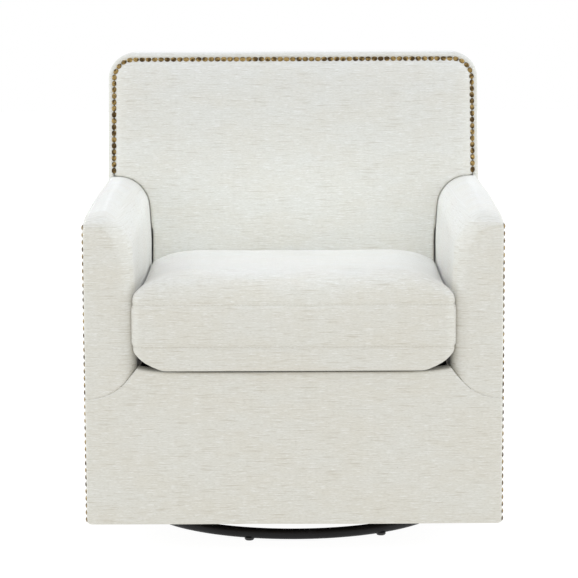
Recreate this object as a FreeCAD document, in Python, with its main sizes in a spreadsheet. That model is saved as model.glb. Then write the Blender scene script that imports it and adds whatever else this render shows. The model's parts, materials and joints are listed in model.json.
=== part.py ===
import FreeCAD, Part
import math
import operator
import os

import Sketcher
from FreeCAD import Placement, Rotation, Vector

# Glider nursery chair, in millimetres. The origin is on the floor, on the swivel axis; the chair
# faces -Y, and +X is the sitter's left, which is on the right for somebody looking at its front.
# "left" and "right" in the part names are as seen by that somebody, so left is -X.

doc = FreeCAD.newDocument("glider_chair")

# ---------------------------------------------------------------------------------------------
# Driving dimensions
# ---------------------------------------------------------------------------------------------

DIMENSIONS = {
    # upholstered body
    "half_wide": 380,  # centre to the outer fabric of an arm
    "front_reach": 395,  # swivel axis to the front panels
    "rear_top": 395,  # swivel axis to the outside back, at its top
    "rear_low": 330,  # the same at the bottom edge
    "skirt_low": 56,  # floor to the bottom edge of the fabric
    "back_tall": 895,  # floor to the top of the back
    "back_corner": 52,  # radius of the back's top corners
    "face_top": 302,  # swivel axis to the inside back, at its top
    "face_low": 244,  # the same where the arms meet it
    "arm_front_tall": 611,
    "arm_rear_tall": 642,
    "arm_inner": 285,  # centre to the inner face of an arm
    "arm_round": 36,  # radius along an arm's inner top edge
    "deck_tall": 338,  # floor to the top of the deck cloth
    "panel": 8,  # front panels: board, wadding and fabric
    "cover": 6,  # outer panels: wadding and fabric
    "back_pad": 38,  # thickness of the inside back
    "border_deep": 35,  # thickness of the border behind the back's edges
    "nail_top": 14,  # top of the back to its nail line
    "nail_side": 10,  # side of the back to its nail line
    "mitre_out": 27,  # first leg of the seam between arm front and front panel
    "mitre_down": 30,
    "mitre_far": 72,  # second leg, almost level, measured from the same corner
    "mitre_low": 48,
    "mitre_tail": 4,  # how much further the seam drops on its way to the outer edge
    "arm_pad_low": 38,  # deck to the underside of an arm's padding
    "arm_pad_rise": 20,  # how far the block that trims an arm's padding stands above it
    "wing_gap": 1,  # top of an arm to the parts of the back above it
    "back_pad_gap": 2,  # deck to the bottom of the inside back
    "side_play": 0.5,  # inside back to an arm
    "deck_thick": 4,
    "deck_play": 1,
    "deck_short": 4,  # deck cloth to the back frame
    "cut_near": 100,  # swivel axis to the start and the end of the blocks the back is cut from
    "cut_far": 420,
    "spare": 5,  # how far a trimming block stands out past what it trims
    # cushion
    "cushion_half": 282,
    "cushion_front": 402,
    "cushion_top": 512,
    "cushion_round": 34,
    "cushion_rear_round": 12,
    "cushion_play": 1,  # deck to the cushion
    "cushion_rear_play": 2,  # inside back to the cushion
    "cloth": 2,
    # wooden frame
    "board": 28,
    "frame_low": 62,
    "rail_tall": 100,
    "post_wide": 60,
    "post_gap": 6,  # front panels to the wooden frame
    "frame_gap": 2,  # outer panels to the wooden frame
    "back_gap": 1,  # outside back to the back frame
    "side_rails_end": 320,  # swivel axis to the rear ends of the side and arm rails
    "top_rail_low": 105,  # top of the back to the bottom of its top rail
    "top_rail_high": 45,
    "back_post": 36,
    "back_post_deep": 45,
    "arm_padding": 34,
    "arm_rail_tall": 32,
    "spring_rail_top": 326,
    "low_rail_tall": 50,
    "block": 32,  # legs of a corner block
    "block_low": 18,  # bottom of the frame to the underside of a corner block
    "block_high": 78,  # the same to its top
    # seat springs
    "spring_count": 5,
    "spring_pitch": 110,
    "spring_wire": 4,
    "spring_bend": 17,
    "spring_run": 30,
    "clip_wide": 24,
    "clip_long": 16,
    "clip_thick": 3,
    # decorative nails
    "nail_head": 5.75,  # radius
    "nail_dome": 2.6,
    "nail_shank": 0.9,
    "nail_long": 9,
    "nail_tip": 2,
    "nail_step": 13.1,
    "nail_inset": 7,  # front edge to the column of nails on an arm
    "nail_top_gap": 8,  # arm's top to its highest nail
    "nail_low_gap": 6,  # least distance from the skirt to an arm's lowest nail
    # base
    "ring_radius": 290,
    "ring_tube": 10,
    "ring_wall": 2,
    "ring_centre": 14,
    "glide_count": 7,
    "glide_radius": 9,
    "glide_bevel": 2,
    "glide_tall": 5.5,
    "glide_turn": -17,  # degrees from straight ahead to the first floor glide
    "spoke_wide": 30,
    "spoke_tall": 16,
    "spoke_low": 6,
    "spoke_start": 22,
    "hub_radius": 90,
    "hub_thick": 6,
    "race_inner": 55,
    "race_outer": 85,
    "race_thick": 5,
    "race_gap": 2,
    "ball_radius": 4,
    "ball_count": 24,
    "ball_play": 0.35,
    "king_radius": 8,
    "king_flange": 6,  # width and thickness of the king pin's heads
    "king_play": 0.5,
    "running": 0.05,  # radial clearance of every running fit
    # glide mechanism
    "plate_half_x": 130,
    "plate_half_y": 130,
    "plate_thick": 5,
    "plate_corner": 20,
    "channel_tall": 22,
    "channel_wide": 30,
    "channel_wall": 3,
    "hanger_in": 196,
    "hanger_thick": 6,
    "hanger_top": 263,
    "hanger_foot": 30,  # pivot to the end of a hanger's foot, along the chair
    "hanger_shoulder": 18,
    "hanger_toe": 6,  # corner radii
    "hanger_round": 16,
    "pivot_y": 110,
    "pivot_high": 245,
    "link_length": 150,
    "link_in": 208,
    "link_thick": 6,
    "link_half": 15,
    "link_flat": 0.5,  # half of the flat left on a link's round ends
    "bearing_radius": 11,
    "pin_radius": 5,
    "pin_collar": 8,
    "pin_head": 3,
    "pin_play": 0.5,
    "rail_in": 216,
    "rail_wall": 5,
    "rail_flange": 30,
    "rail_flange_thick": 4,
    "rail_low": 80,
    "rail_high": 120,
    "rail_half": 228,
    "drill_long": 60,
    "drill_lead": 20,  # how far a drill starts before the rail
    "bolt_radius": 4,
    "bolt_head_radius": 7,
    "bolt_head": 5,
    "bolt_end": 4,
    "bolt_offset": 3,  # middle of a rail's flange to its bolts
    "bar_y": 215,
    "bar_wide": 25,
    "bar_thick": 20,
    "bar_wall": 2.5,
    "flange_wide": 60,
    "flange_tall": 50,
    "flange_thick": 4,
    "screw_radius": 3,
    "screw_head_radius": 6,
    "screw_head": 4,
    "screw_long": 22,
    "screw_tip": 4,
    "screw_inset": 8,
    "bumper_radius": 8,
    "bumper_long": 9,
}

OPERATORS = {
    "+": operator.add,
    "-": operator.sub,
    "*": operator.mul,
    "/": operator.truediv,
}


class Size:
    """A length that holds its value and the sheet expression that gives it."""

    def __init__(self, value, text):
        self.value = float(value)
        self.text = text

    def __add__(self, other):
        return combine(self, "+", other)

    def __radd__(self, other):
        return combine(other, "+", self)

    def __sub__(self, other):
        return combine(self, "-", other)

    def __rsub__(self, other):
        return combine(other, "-", self)

    def __mul__(self, other):
        return combine(self, "*", other)

    def __rmul__(self, other):
        return combine(other, "*", self)

    def __truediv__(self, other):
        return combine(self, "/", other)

    def __neg__(self):
        return combine(-1, "*", self)


def as_size(number):
    return number if isinstance(number, Size) else Size(number, f"({number})")


def combine(left, sign, right):
    left, right = as_size(left), as_size(right)
    value = OPERATORS[sign](left.value, right.value)
    return Size(value, f"({left.text} {sign} {right.text})")


class Dims:
    """The sheet's cells as Size attributes."""


sheet = doc.addObject("Spreadsheet::Sheet", "dims")
d = Dims()
for row, (alias, number) in enumerate(DIMENSIONS.items(), start=1):
    sheet.set(f"A{row}", alias)
    sheet.set(f"B{row}", str(number))
    sheet.setAlias(f"B{row}", alias)
    setattr(d, alias, Size(number, f"dims.{alias}"))
doc.recompute()

# ---------------------------------------------------------------------------------------------
# Drawing helpers
# ---------------------------------------------------------------------------------------------

PLANES = {"XY": "XY_Plane", "XZ": "XZ_Plane", "YZ": "YZ_Plane"}
sub_parts = []


def finished(thing, name):
    """Names a finished sub-part, and lists it for writing."""
    thing.Label = name
    sub_parts.append(thing)
    return thing


def bind(thing, field, size):
    """Ties one property to the sheet."""
    size = as_size(size)
    if "dims." in size.text:
        thing.setExpression(field, size.text)


def fix(sketch, kind, places, size):
    """Adds one dimension to a sketch, tied to the sheet."""
    size = as_size(size)
    index = sketch.addConstraint(Sketcher.Constraint(kind, *places, size.value))
    bind(sketch, f"Constraints[{index}]", size)


def fix_point(sketch, geometry, vertex, u, v):
    """Holds a point of a sketch at (u, v)."""
    for kind, axis, size in (("DistanceX", -2, as_size(u)), ("DistanceY", -1, as_size(v))):
        if size.value == 0:
            sketch.addConstraint(Sketcher.Constraint("PointOnObject", geometry, vertex, axis))
        else:
            fix(sketch, kind, (-1, 1, geometry, vertex), size)


def flat(u, v):
    return Vector(as_size(u).value, as_size(v).value, 0)


def rounded_ends(before, corner, after, radius):
    """Where a corner's arc starts and ends, and the middle of the arc's circle."""
    back = (before - corner).normalize()
    forth = (after - corner).normalize()
    half = back.getAngle(forth) / 2
    reach = radius / math.tan(half)
    middle = corner + (back + forth).normalize() * (radius / math.sin(half))
    return corner + back * reach, corner + forth * reach, middle


def draw_outline(sketch, corners):
    """Draws a closed outline: each corner is (u, v), or (u, v, radius) where it is rounded."""
    points = [flat(corner[0], corner[1]) for corner in corners]
    count = len(corners)
    starts, ends, middles = list(points), list(points), [None] * count
    for i, corner in enumerate(corners):
        if len(corner) == 3:
            radius = as_size(corner[2]).value
            around = points[i - 1], points[i], points[(i + 1) % count]
            ends[i], starts[i], middles[i] = rounded_ends(*around, radius)
    lines = []
    for i in range(count):
        edge = Part.LineSegment(starts[i], ends[(i + 1) % count])
        lines.append(sketch.addGeometry(edge))
    for i, corner in enumerate(corners):
        before, after = lines[i - 1], lines[i]
        if len(corner) == 2:
            sketch.addConstraint(Sketcher.Constraint("Coincident", before, 2, after, 1))
            fix_point(sketch, after, 1, corner[0], corner[1])
            continue
        round_corner(sketch, before, after, corner, (ends[i], starts[i], middles[i]))


def round_corner(sketch, before, after, corner, places):
    """Joins two lines of an outline with an arc whose tangents meet at the corner."""
    first, last, middle = places
    radius = as_size(corner[2]).value
    angles = [math.atan2(place.y - middle.y, place.x - middle.x) for place in (first, last)]
    turn = (angles[1] - angles[0]) % (2 * math.pi)
    forward = turn < math.pi
    if not forward:
        angles.reverse()
    circle = Part.Circle(middle, Vector(0, 0, 1), radius)
    arc = sketch.addGeometry(Part.ArcOfCircle(circle, *angles))
    enters, leaves = (1, 2) if forward else (2, 1)
    sketch.addConstraint(Sketcher.Constraint("Tangent", before, 2, arc, enters))
    sketch.addConstraint(Sketcher.Constraint("Tangent", after, 1, arc, leaves))
    fix(sketch, "Radius", (arc,), corner[2])
    tip = sketch.addGeometry(Part.Point(flat(corner[0], corner[1])), True)
    fix_point(sketch, tip, 1, corner[0], corner[1])
    sketch.addConstraint(Sketcher.Constraint("PointOnObject", tip, 1, before))
    sketch.addConstraint(Sketcher.Constraint("PointOnObject", tip, 1, after))


def draw_circle(sketch, u, v, radius):
    circle = Part.Circle(flat(u, v), Vector(0, 0, 1), as_size(radius).value)
    index = sketch.addGeometry(circle)
    fix_point(sketch, index, 3, u, v)
    fix(sketch, "Radius", (index,), radius)


def new_body(name):
    body = doc.addObject("PartDesign::Body", name)
    body.Label = f"{name}_solid"
    return body


def new_sketch(body, name, plane, offset=0):
    """A sketch on one of the body's own planes, moved along the plane's normal."""
    sketch = body.newObject("Sketcher::SketchObject", name)
    role = PLANES[plane]
    support = [item for item in body.Origin.OriginFeatures if item.Role == role][0]
    sketch.AttachmentSupport = [(support, "")]
    sketch.MapMode = "FlatFace"
    sketch.AttachmentOffset = Placement(Vector(0, 0, as_size(offset).value), Rotation())
    bind(sketch, "AttachmentOffset.Base.z", offset)
    return sketch


def extruded(name, plane, corners, low, high, holes=()):
    """A flat outline made solid from low to high along its plane's world axis."""
    body = new_body(name)
    # The XZ plane's normal is -Y, so its outline starts at the high end.
    start = -high if plane == "XZ" else low
    sketch = new_sketch(body, f"{name}_outline", plane, start)
    draw_outline(sketch, corners)
    for hole in holes:
        draw_circle(sketch, *hole)
    pad = body.newObject("PartDesign::Pad", f"{name}_pad")
    pad.Profile = sketch
    pad.Length = (as_size(high) - low).value
    bind(pad, "Length", as_size(high) - low)
    sketch.Visibility = False
    return body


def revolved(name, corners):
    """A half outline (radius, height) turned round the body's own Z axis."""
    body = new_body(name)
    sketch = new_sketch(body, f"{name}_outline", "XZ")
    draw_outline(sketch, corners)
    turn = body.newObject("PartDesign::Revolution", f"{name}_turn")
    turn.Profile = sketch
    turn.ReferenceAxis = (sketch, ["V_Axis"])
    turn.Angle = 360
    return body


def lofted(name, sections):
    """A solid between upright outlines, each given as (y, corners)."""
    body = new_body(name)
    sketches = []
    for number, (y, corners) in enumerate(sections):
        sketch = new_sketch(body, f"{name}_section_{number}", "XZ", -as_size(y))
        draw_outline(sketch, corners)
        sketches.append(sketch)
    loft = body.newObject("PartDesign::AdditiveLoft", f"{name}_loft")
    loft.Profile = sketches[0]
    loft.Sections = sketches[1:]
    loft.Ruled = True
    return body


def box(name, low, high):
    """A block between two opposite corners."""
    block = doc.addObject("Part::Box", name)
    sizes = [as_size(b) - a for a, b in zip(low, high)]
    for field, size in zip(("Length", "Width", "Height"), sizes):
        setattr(block, field, size.value)
        bind(block, field, size)
    place(block, *low)
    return block


def tube(name, outer, inner, length):
    """An open cylinder along its own Z axis."""
    shell = cylinder(f"{name}_outer", outer, length)
    hollow = cylinder(f"{name}_inner", inner, length)
    return cut(f"{name}_tube", shell, [hollow])


def cylinder(name, radius, length):
    rod = doc.addObject("Part::Cylinder", name)
    rod.Radius = as_size(radius).value
    rod.Height = as_size(length).value
    bind(rod, "Radius", radius)
    bind(rod, "Height", length)
    return rod


def place(thing, x, y, z, turn=None):
    """Puts a piece's own origin at a point, with its place tied to the sheet."""
    point = Vector(*(as_size(value).value for value in (x, y, z)))
    thing.Placement = Placement(point, turn or Rotation())
    for axis, value in zip("xyz", (x, y, z)):
        bind(thing, f"Placement.Base.{axis}", value)
    return thing


def cut(name, base, tools):
    """The base less every tool."""
    for number, tool in enumerate(tools):
        less = doc.addObject("Part::Cut", f"{name}_{number}")
        less.Base = base
        less.Tool = tool
        less.Refine = True
        base = less
    return base


def common(name, base, tool):
    shared = doc.addObject("Part::Common", name)
    shared.Base = base
    shared.Tool = tool
    shared.Refine = True
    return shared


def fused(name, shapes):
    whole = doc.addObject("Part::MultiFuse", name)
    whole.Shapes = shapes
    whole.Refine = True
    return whole


def group(name, solids):
    """Identical separate solids kept as one sub-part."""
    several = doc.addObject("Part::Compound", name)
    several.Links = solids
    return several


# ---------------------------------------------------------------------------------------------
# The body's slanted planes
# ---------------------------------------------------------------------------------------------


def back_face(height):
    """How far back the inside back's face is at a height."""
    lean = (d.face_top - d.face_low) / (d.back_tall - d.arm_rear_tall)
    return d.face_low + (height - d.arm_rear_tall) * lean


def rear_face(height):
    """How far back the outside back's face is at a height."""
    lean = (d.rear_top - d.rear_low) / (d.back_tall - d.skirt_low)
    return d.rear_low + (height - d.skirt_low) * lean


def arm_top(y):
    """The height of an arm's top at a depth."""
    slope = (d.arm_rear_tall - d.arm_front_tall) / (d.face_low + d.front_reach)
    return d.arm_front_tall + (y + d.front_reach) * slope


def leaning(face, ahead, behind, low, high):
    """The side outline of a slab that follows a slanted face, from ahead to behind it."""
    return [
        (face(low) + ahead, low),
        (face(low) + behind, low),
        (face(high) + behind, high),
        (face(high) + ahead, high),
    ]


# ---------------------------------------------------------------------------------------------
# Base
# ---------------------------------------------------------------------------------------------


def make_base():
    ring = doc.addObject("Part::Torus", "ring_outside")
    hollow = doc.addObject("Part::Torus", "ring_hollow")
    for torus, radius in ((ring, d.ring_tube), (hollow, d.ring_tube - d.ring_wall)):
        torus.Radius1 = d.ring_radius.value
        torus.Radius2 = radius.value
        bind(torus, "Radius1", d.ring_radius)
        bind(torus, "Radius2", radius)
        place(torus, 0, 0, d.ring_centre)
    finished(cut("ring", ring, [hollow]), "base_ring")

    spokes = []
    for number in range(4):
        bar = box(
            f"spoke_{number}",
            (d.spoke_start, -d.spoke_wide / 2, d.spoke_low),
            (d.ring_radius, d.spoke_wide / 2, d.spoke_low + d.spoke_tall),
        )
        coped = cut(f"spoke_{number}_coped", bar, [ring])
        coped.Placement = Placement(Vector(), Rotation(Vector(0, 0, 1), 45 + 90 * number))
        spokes.append(coped)
    finished(group("spokes", spokes), "base_spokes")

    hub_low = d.spoke_low + d.spoke_tall
    hub_top = hub_low + d.hub_thick
    hub = cylinder("hub", d.hub_radius, d.hub_thick)
    place(hub, 0, 0, hub_low)
    bore = cylinder("hub_bore", d.king_radius, d.hub_thick)
    place(bore, 0, 0, hub_low)
    finished(cut("hub_drilled", hub, [bore]), "hub_plate")

    glides = []
    for number in range(DIMENSIONS["glide_count"]):
        disc = revolved(
            f"floor_glide_{number}",
            [
                (0, 0),
                (d.glide_radius - d.glide_bevel, 0),
                (d.glide_radius, d.glide_bevel),
                (d.glide_radius, d.glide_tall),
                (0, d.glide_tall),
            ],
        )
        turn = d.glide_turn.value + 360 * number / DIMENSIONS["glide_count"]
        angle = math.radians(turn - 90)
        reach = d.ring_radius.value
        spot = Vector(reach * math.cos(angle), reach * math.sin(angle), 0)
        disc.Placement = Placement(spot, Rotation())
        glides.append(cut(f"floor_glide_{number}_fitted", disc, [ring]))
    finished(group("glides", glides), "floor_glides")

    make_races(hub_top)
    make_king_pin(hub_low, hub_top)
    return hub_top


def race_blank(name, low):
    """One flat bearing race, before its ball groove."""
    return revolved(
        name,
        [
            (d.race_inner, low),
            (d.race_outer, low),
            (d.race_outer, low + d.race_thick),
            (d.race_inner, low + d.race_thick),
        ],
    )


def ball_track(name, radius, height):
    track = doc.addObject("Part::Torus", name)
    middle = (d.race_inner + d.race_outer) / 2
    track.Radius1 = middle.value
    track.Radius2 = as_size(radius).value
    bind(track, "Radius1", middle)
    bind(track, "Radius2", radius)
    return place(track, 0, 0, height)


def make_races(hub_top):
    ball_height = hub_top + d.race_thick + d.race_gap / 2
    lower = race_blank("lower_race_blank", hub_top)
    lower_track = ball_track("lower_track", d.ball_radius, ball_height)
    finished(cut("lower_race_cut", lower, [lower_track]), "lower_race")
    upper = race_blank("upper_race_blank", hub_top + d.race_thick + d.race_gap)
    upper_track = ball_track("upper_track", d.ball_radius + d.ball_play, ball_height)
    finished(cut("upper_race_cut", upper, [upper_track]), "upper_race")

    balls = []
    for number in range(DIMENSIONS["ball_count"]):
        ball = doc.addObject("Part::Sphere", f"ball_{number}")
        ball.Radius = d.ball_radius.value
        bind(ball, "Radius", d.ball_radius)
        angle = 2 * math.pi * number / DIMENSIONS["ball_count"]
        reach = (d.race_inner.value + d.race_outer.value) / 2
        spot = Vector(reach * math.cos(angle), reach * math.sin(angle), ball_height.value)
        ball.Placement = Placement(spot, Rotation())
        balls.append(ball)
    finished(group("balls", balls), "bearing_balls")


def make_king_pin(hub_low, hub_top):
    plate_top = turntable_low(hub_top) + d.plate_thick
    head_low = plate_top + d.king_play
    head = d.king_radius + d.king_flange
    profile = [
        (0, hub_low - d.king_flange),
        (head, hub_low - d.king_flange),
        (head, hub_low),
        (d.king_radius, hub_low),
        (d.king_radius, head_low),
        (head, head_low),
        (head, head_low + d.king_flange),
        (0, head_low + d.king_flange),
    ]
    finished(revolved("king_pin_turned", profile), "king_pin")


def turntable_low(hub_top):
    """The height of the turntable plate's underside, on top of the upper race."""
    return hub_top + d.race_thick * 2 + d.race_gap


# ---------------------------------------------------------------------------------------------
# Turntable and hangers
# ---------------------------------------------------------------------------------------------


def make_turntable(hub_top):
    low = turntable_low(hub_top)
    top = low + d.plate_thick
    corners = [
        (-d.plate_half_x, -d.plate_half_y, d.plate_corner),
        (d.plate_half_x, -d.plate_half_y, d.plate_corner),
        (d.plate_half_x, d.plate_half_y, d.plate_corner),
        (-d.plate_half_x, d.plate_half_y, d.plate_corner),
    ]
    bore = (0, 0, d.king_radius + d.running)
    plate = extruded("turntable", "XY", corners, low, top, [bore])
    finished(plate, "turntable_plate")

    for name, side in (("front", -1), ("rear", 1)):
        middle = side * d.pivot_y
        wall = d.channel_wall
        near, far = middle - d.channel_wide / 2, middle + d.channel_wide / 2
        profile = [
            (near, top),
            (far, top),
            (far, top + d.channel_tall),
            (far - wall, top + d.channel_tall),
            (far - wall, top + wall),
            (near + wall, top + wall),
            (near + wall, top + d.channel_tall),
            (near, top + d.channel_tall),
        ]
        channel = extruded(f"channel_{name}", "YZ", profile, -d.hanger_in, d.hanger_in)
        finished(channel, f"cross_channel_{name}")

    for name, side in (("left", -1), ("right", 1)):
        make_hanger(name, side, low)
    make_pins("upper", d.pivot_high, upper_pin_profile())


def make_hanger(name, side, low):
    """The upright plate that carries the two upper pivots of one side."""
    foot, shoulder = d.pivot_y + d.hanger_foot, d.pivot_y + d.hanger_shoulder
    outline = [
        (-foot, low, d.hanger_toe),
        (foot, low, d.hanger_toe),
        (shoulder, d.hanger_top, d.hanger_round),
        (-shoulder, d.hanger_top, d.hanger_round),
    ]
    holes = [
        (-d.pivot_y, d.pivot_high, d.pin_radius),
        (d.pivot_y, d.pivot_high, d.pin_radius),
    ]
    inner, outer = d.hanger_in, d.hanger_in + d.hanger_thick
    low_x, high_x = (inner, outer) if side > 0 else (-outer, -inner)
    hanger = extruded(f"hanger_{name}", "YZ", outline, low_x, high_x, holes)
    finished(hanger, f"hanger_{name}_plate")


def link_room():
    """Where a pin's thin part starts and ends, with a link and its play between."""
    return d.link_in - d.pin_play, d.link_in + d.link_thick + d.pin_play


def upper_pin_profile():
    """Half outline of an upper pin: inner head, hanger, spacer, link, outer collar."""
    start = d.hanger_in - d.pin_head
    hanger_out = d.hanger_in + d.hanger_thick
    link_near, link_far = link_room()
    return [
        (0, start),
        (d.pin_collar, start),
        (d.pin_collar, d.hanger_in),
        (d.pin_radius, d.hanger_in),
        (d.pin_radius, hanger_out),
        (d.pin_collar, hanger_out),
        (d.pin_collar, link_near),
        (d.pin_radius, link_near),
        (d.pin_radius, link_far),
        (d.pin_collar, link_far),
        (d.pin_collar, link_far + d.pin_head),
        (0, link_far + d.pin_head),
    ]


def lower_pin_profile():
    """Half outline of a lower pin: inner collar, link, shoulder, rail, outer head."""
    link_near, link_far = link_room()
    rail_out = d.rail_in + d.rail_wall
    return [
        (0, link_near - d.pin_head),
        (d.pin_collar, link_near - d.pin_head),
        (d.pin_collar, link_near),
        (d.pin_radius, link_near),
        (d.pin_radius, link_far),
        (d.pin_collar, link_far),
        (d.pin_collar, d.rail_in),
        (d.pin_radius, d.rail_in),
        (d.pin_radius, rail_out),
        (d.pin_collar, rail_out),
        (d.pin_collar, rail_out + d.pin_head),
        (0, rail_out + d.pin_head),
    ]


def make_pins(name, height, profile):
    """Four pins whose own Z axis points away from the middle, to the left or the right."""
    pins = []
    for x_side in (-1, 1):
        for y_side in (-1, 1):
            pin = revolved(f"{name}_pin_{len(pins)}", profile)
            turn = Rotation(Vector(0, 1, 0), 90 * x_side)
            place(pin, 0, y_side * d.pivot_y, height, turn)
            pins.append(pin)
    finished(group(f"{name}_pin_set", pins), f"{name}_pins")


# ---------------------------------------------------------------------------------------------
# Links and carriage
# ---------------------------------------------------------------------------------------------


def make_links():
    low = d.pivot_high - d.link_length
    for y_name, y_side in (("front", -1), ("rear", 1)):
        for x_name, x_side in (("left", -1), ("right", 1)):
            name = f"{y_name}_{x_name}"
            y = y_side * d.pivot_y
            inner, outer = d.link_in, d.link_in + d.link_thick
            low_x, high_x = (inner, outer) if x_side > 0 else (-outer, -inner)
            half, round_end = d.link_half, d.link_half - d.link_flat
            outline = [
                (y - half, low - half, round_end),
                (y + half, low - half, round_end),
                (y + half, d.pivot_high + half, round_end),
                (y - half, d.pivot_high + half, round_end),
            ]
            eyes = [(y, low, d.bearing_radius), (y, d.pivot_high, d.bearing_radius)]
            link = extruded(f"link_{name}", "YZ", outline, low_x, high_x, eyes)
            finished(link, f"link_bar_{name}")
            rings = []
            for height in (low, d.pivot_high):
                ring = tube(
                    f"bearing_{name}_{len(rings)}",
                    d.bearing_radius,
                    d.pin_radius + d.running,
                    d.link_thick,
                )
                turn = Rotation(Vector(0, 1, 0), 90)
                rings.append(place(ring, low_x, y, height, turn))
            finished(group(f"bearings_{name}", rings), f"link_bearings_{name}")


def make_carriage():
    low = d.pivot_high - d.link_length
    rail_out = d.rail_in + d.rail_wall
    bolts = rail_bolts()
    for name, side in (("left", -1), ("right", 1)):
        profile = [
            (side * d.rail_in, d.rail_low),
            (side * rail_out, d.rail_low),
            (side * rail_out, d.rail_high - d.rail_flange_thick),
            (side * (d.rail_in + d.rail_flange), d.rail_high - d.rail_flange_thick),
            (side * (d.rail_in + d.rail_flange), d.rail_high),
            (side * d.rail_in, d.rail_high),
        ]
        angle = extruded(f"rail_{name}", "XZ", profile, -d.rail_half, d.rail_half)
        pin_holes = []
        for y_side in (-1, 1):
            hole = cylinder(f"rail_{name}_hole_{len(pin_holes)}", d.pin_radius, d.drill_long)
            turn = Rotation(Vector(0, 1, 0), 90)
            lead = d.drill_lead if side > 0 else d.drill_long - d.drill_lead
            x = side * d.rail_in - lead
            pin_holes.append(place(hole, x, y_side * d.pivot_y, low, turn))
        drilled = cut(f"rail_{name}_drilled", angle, pin_holes + [bolts])
        finished(drilled, f"glide_rail_{name}")
    make_pins("lower", low, lower_pin_profile())
    screws = lag_screws()
    for name, side in (("front", -1), ("rear", 1)):
        make_cross_bar(name, side, [bolts, screws])
    make_bumpers()
    return screws


def rail_bolts():
    """Four bolts up through the rails' flanges into the cross bars."""
    bolts = []
    head_top = d.rail_high - d.rail_flange_thick
    end = d.rail_high + d.bar_wall + d.bolt_end
    profile = [
        (0, head_top - d.bolt_head),
        (d.bolt_head_radius, head_top - d.bolt_head),
        (d.bolt_head_radius, head_top),
        (d.bolt_radius, head_top),
        (d.bolt_radius, end),
        (0, end),
    ]
    for x_side in (-1, 1):
        for y_side in (-1, 1):
            bolt = revolved(f"rail_bolt_{len(bolts)}", profile)
            x = x_side * (d.rail_in + d.rail_flange / 2 + d.bolt_offset)
            bolts.append(place(bolt, x, y_side * d.bar_y, 0))
    return finished(group("rail_bolt_set", bolts), "rail_bolts")


def frame_inner():
    """From the centre to the inner face of a side rail of the wooden frame."""
    return d.half_wide - d.cover - d.frame_gap - d.board


def lag_screws():
    """Two screws through each cross bar's end flange into the wooden side rails."""
    screws = []
    middle = d.rail_high + d.bar_thick / 2
    plate_in = frame_inner() - d.flange_thick
    profile = [
        (0, plate_in - d.screw_head),
        (d.screw_head_radius, plate_in - d.screw_head),
        (d.screw_head_radius, plate_in),
        (d.screw_radius, plate_in),
        (d.screw_radius, plate_in + d.screw_long),
        (0, plate_in + d.screw_long + d.screw_tip),
    ]
    for x_side in (-1, 1):
        for y_side in (-1, 1):
            for along in (-1, 1):
                screw = revolved(f"lag_screw_{len(screws)}", profile)
                y = y_side * d.bar_y + along * (d.flange_wide / 2 - d.screw_inset)
                turn = Rotation(Vector(0, 1, 0), 90 * x_side)
                screws.append(place(screw, 0, y, middle, turn))
    return finished(group("lag_screw_set", screws), "lag_screws")


def make_cross_bar(name, side, tools):
    """A square tube across the chair with a flange plate at each end."""
    y = side * d.bar_y
    low, high = d.rail_high, d.rail_high + d.bar_thick
    plate_in = frame_inner() - d.flange_thick
    wall = d.bar_wall
    outside = box(
        f"bar_{name}_outside",
        (-plate_in, y - d.bar_wide / 2, low),
        (plate_in, y + d.bar_wide / 2, high),
    )
    inside = box(
        f"bar_{name}_inside",
        (-plate_in, y - d.bar_wide / 2 + wall, low + wall),
        (plate_in, y + d.bar_wide / 2 - wall, high - wall),
    )
    pieces = [cut(f"bar_{name}_hollow", outside, [inside])]
    middle = (low + high) / 2
    for x_side in (-1, 1):
        near, far = (plate_in, frame_inner()) if x_side > 0 else (-frame_inner(), -plate_in)
        plate = box(
            f"bar_{name}_plate_{len(pieces)}",
            (near, y - d.flange_wide / 2, middle - d.flange_tall / 2),
            (far, y + d.flange_wide / 2, middle + d.flange_tall / 2),
        )
        pieces.append(plate)
    welded = fused(f"bar_{name}_welded", pieces)
    finished(cut(f"bar_{name}_drilled", welded, tools), f"cross_bar_{name}")


def make_bumpers():
    """Rubber stops on the cross bars, which meet the hangers' edges at the end of the glide."""
    bumpers = []
    face = d.bar_y - d.bar_wide / 2
    for x_side in (-1, 1):
        for y_side in (-1, 1):
            stop = cylinder(f"bumper_{len(bumpers)}", d.bumper_radius, d.bumper_long)
            x = x_side * (d.hanger_in + d.hanger_thick / 2)
            start = -face if y_side < 0 else face - d.bumper_long
            turn = Rotation(Vector(1, 0, 0), -90)
            bumpers.append(place(stop, x, start, d.rail_high + d.bar_thick / 2, turn))
    finished(group("bumper_set", bumpers), "bumpers")


# ---------------------------------------------------------------------------------------------
# Wooden frame and seat springs
# ---------------------------------------------------------------------------------------------


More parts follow.
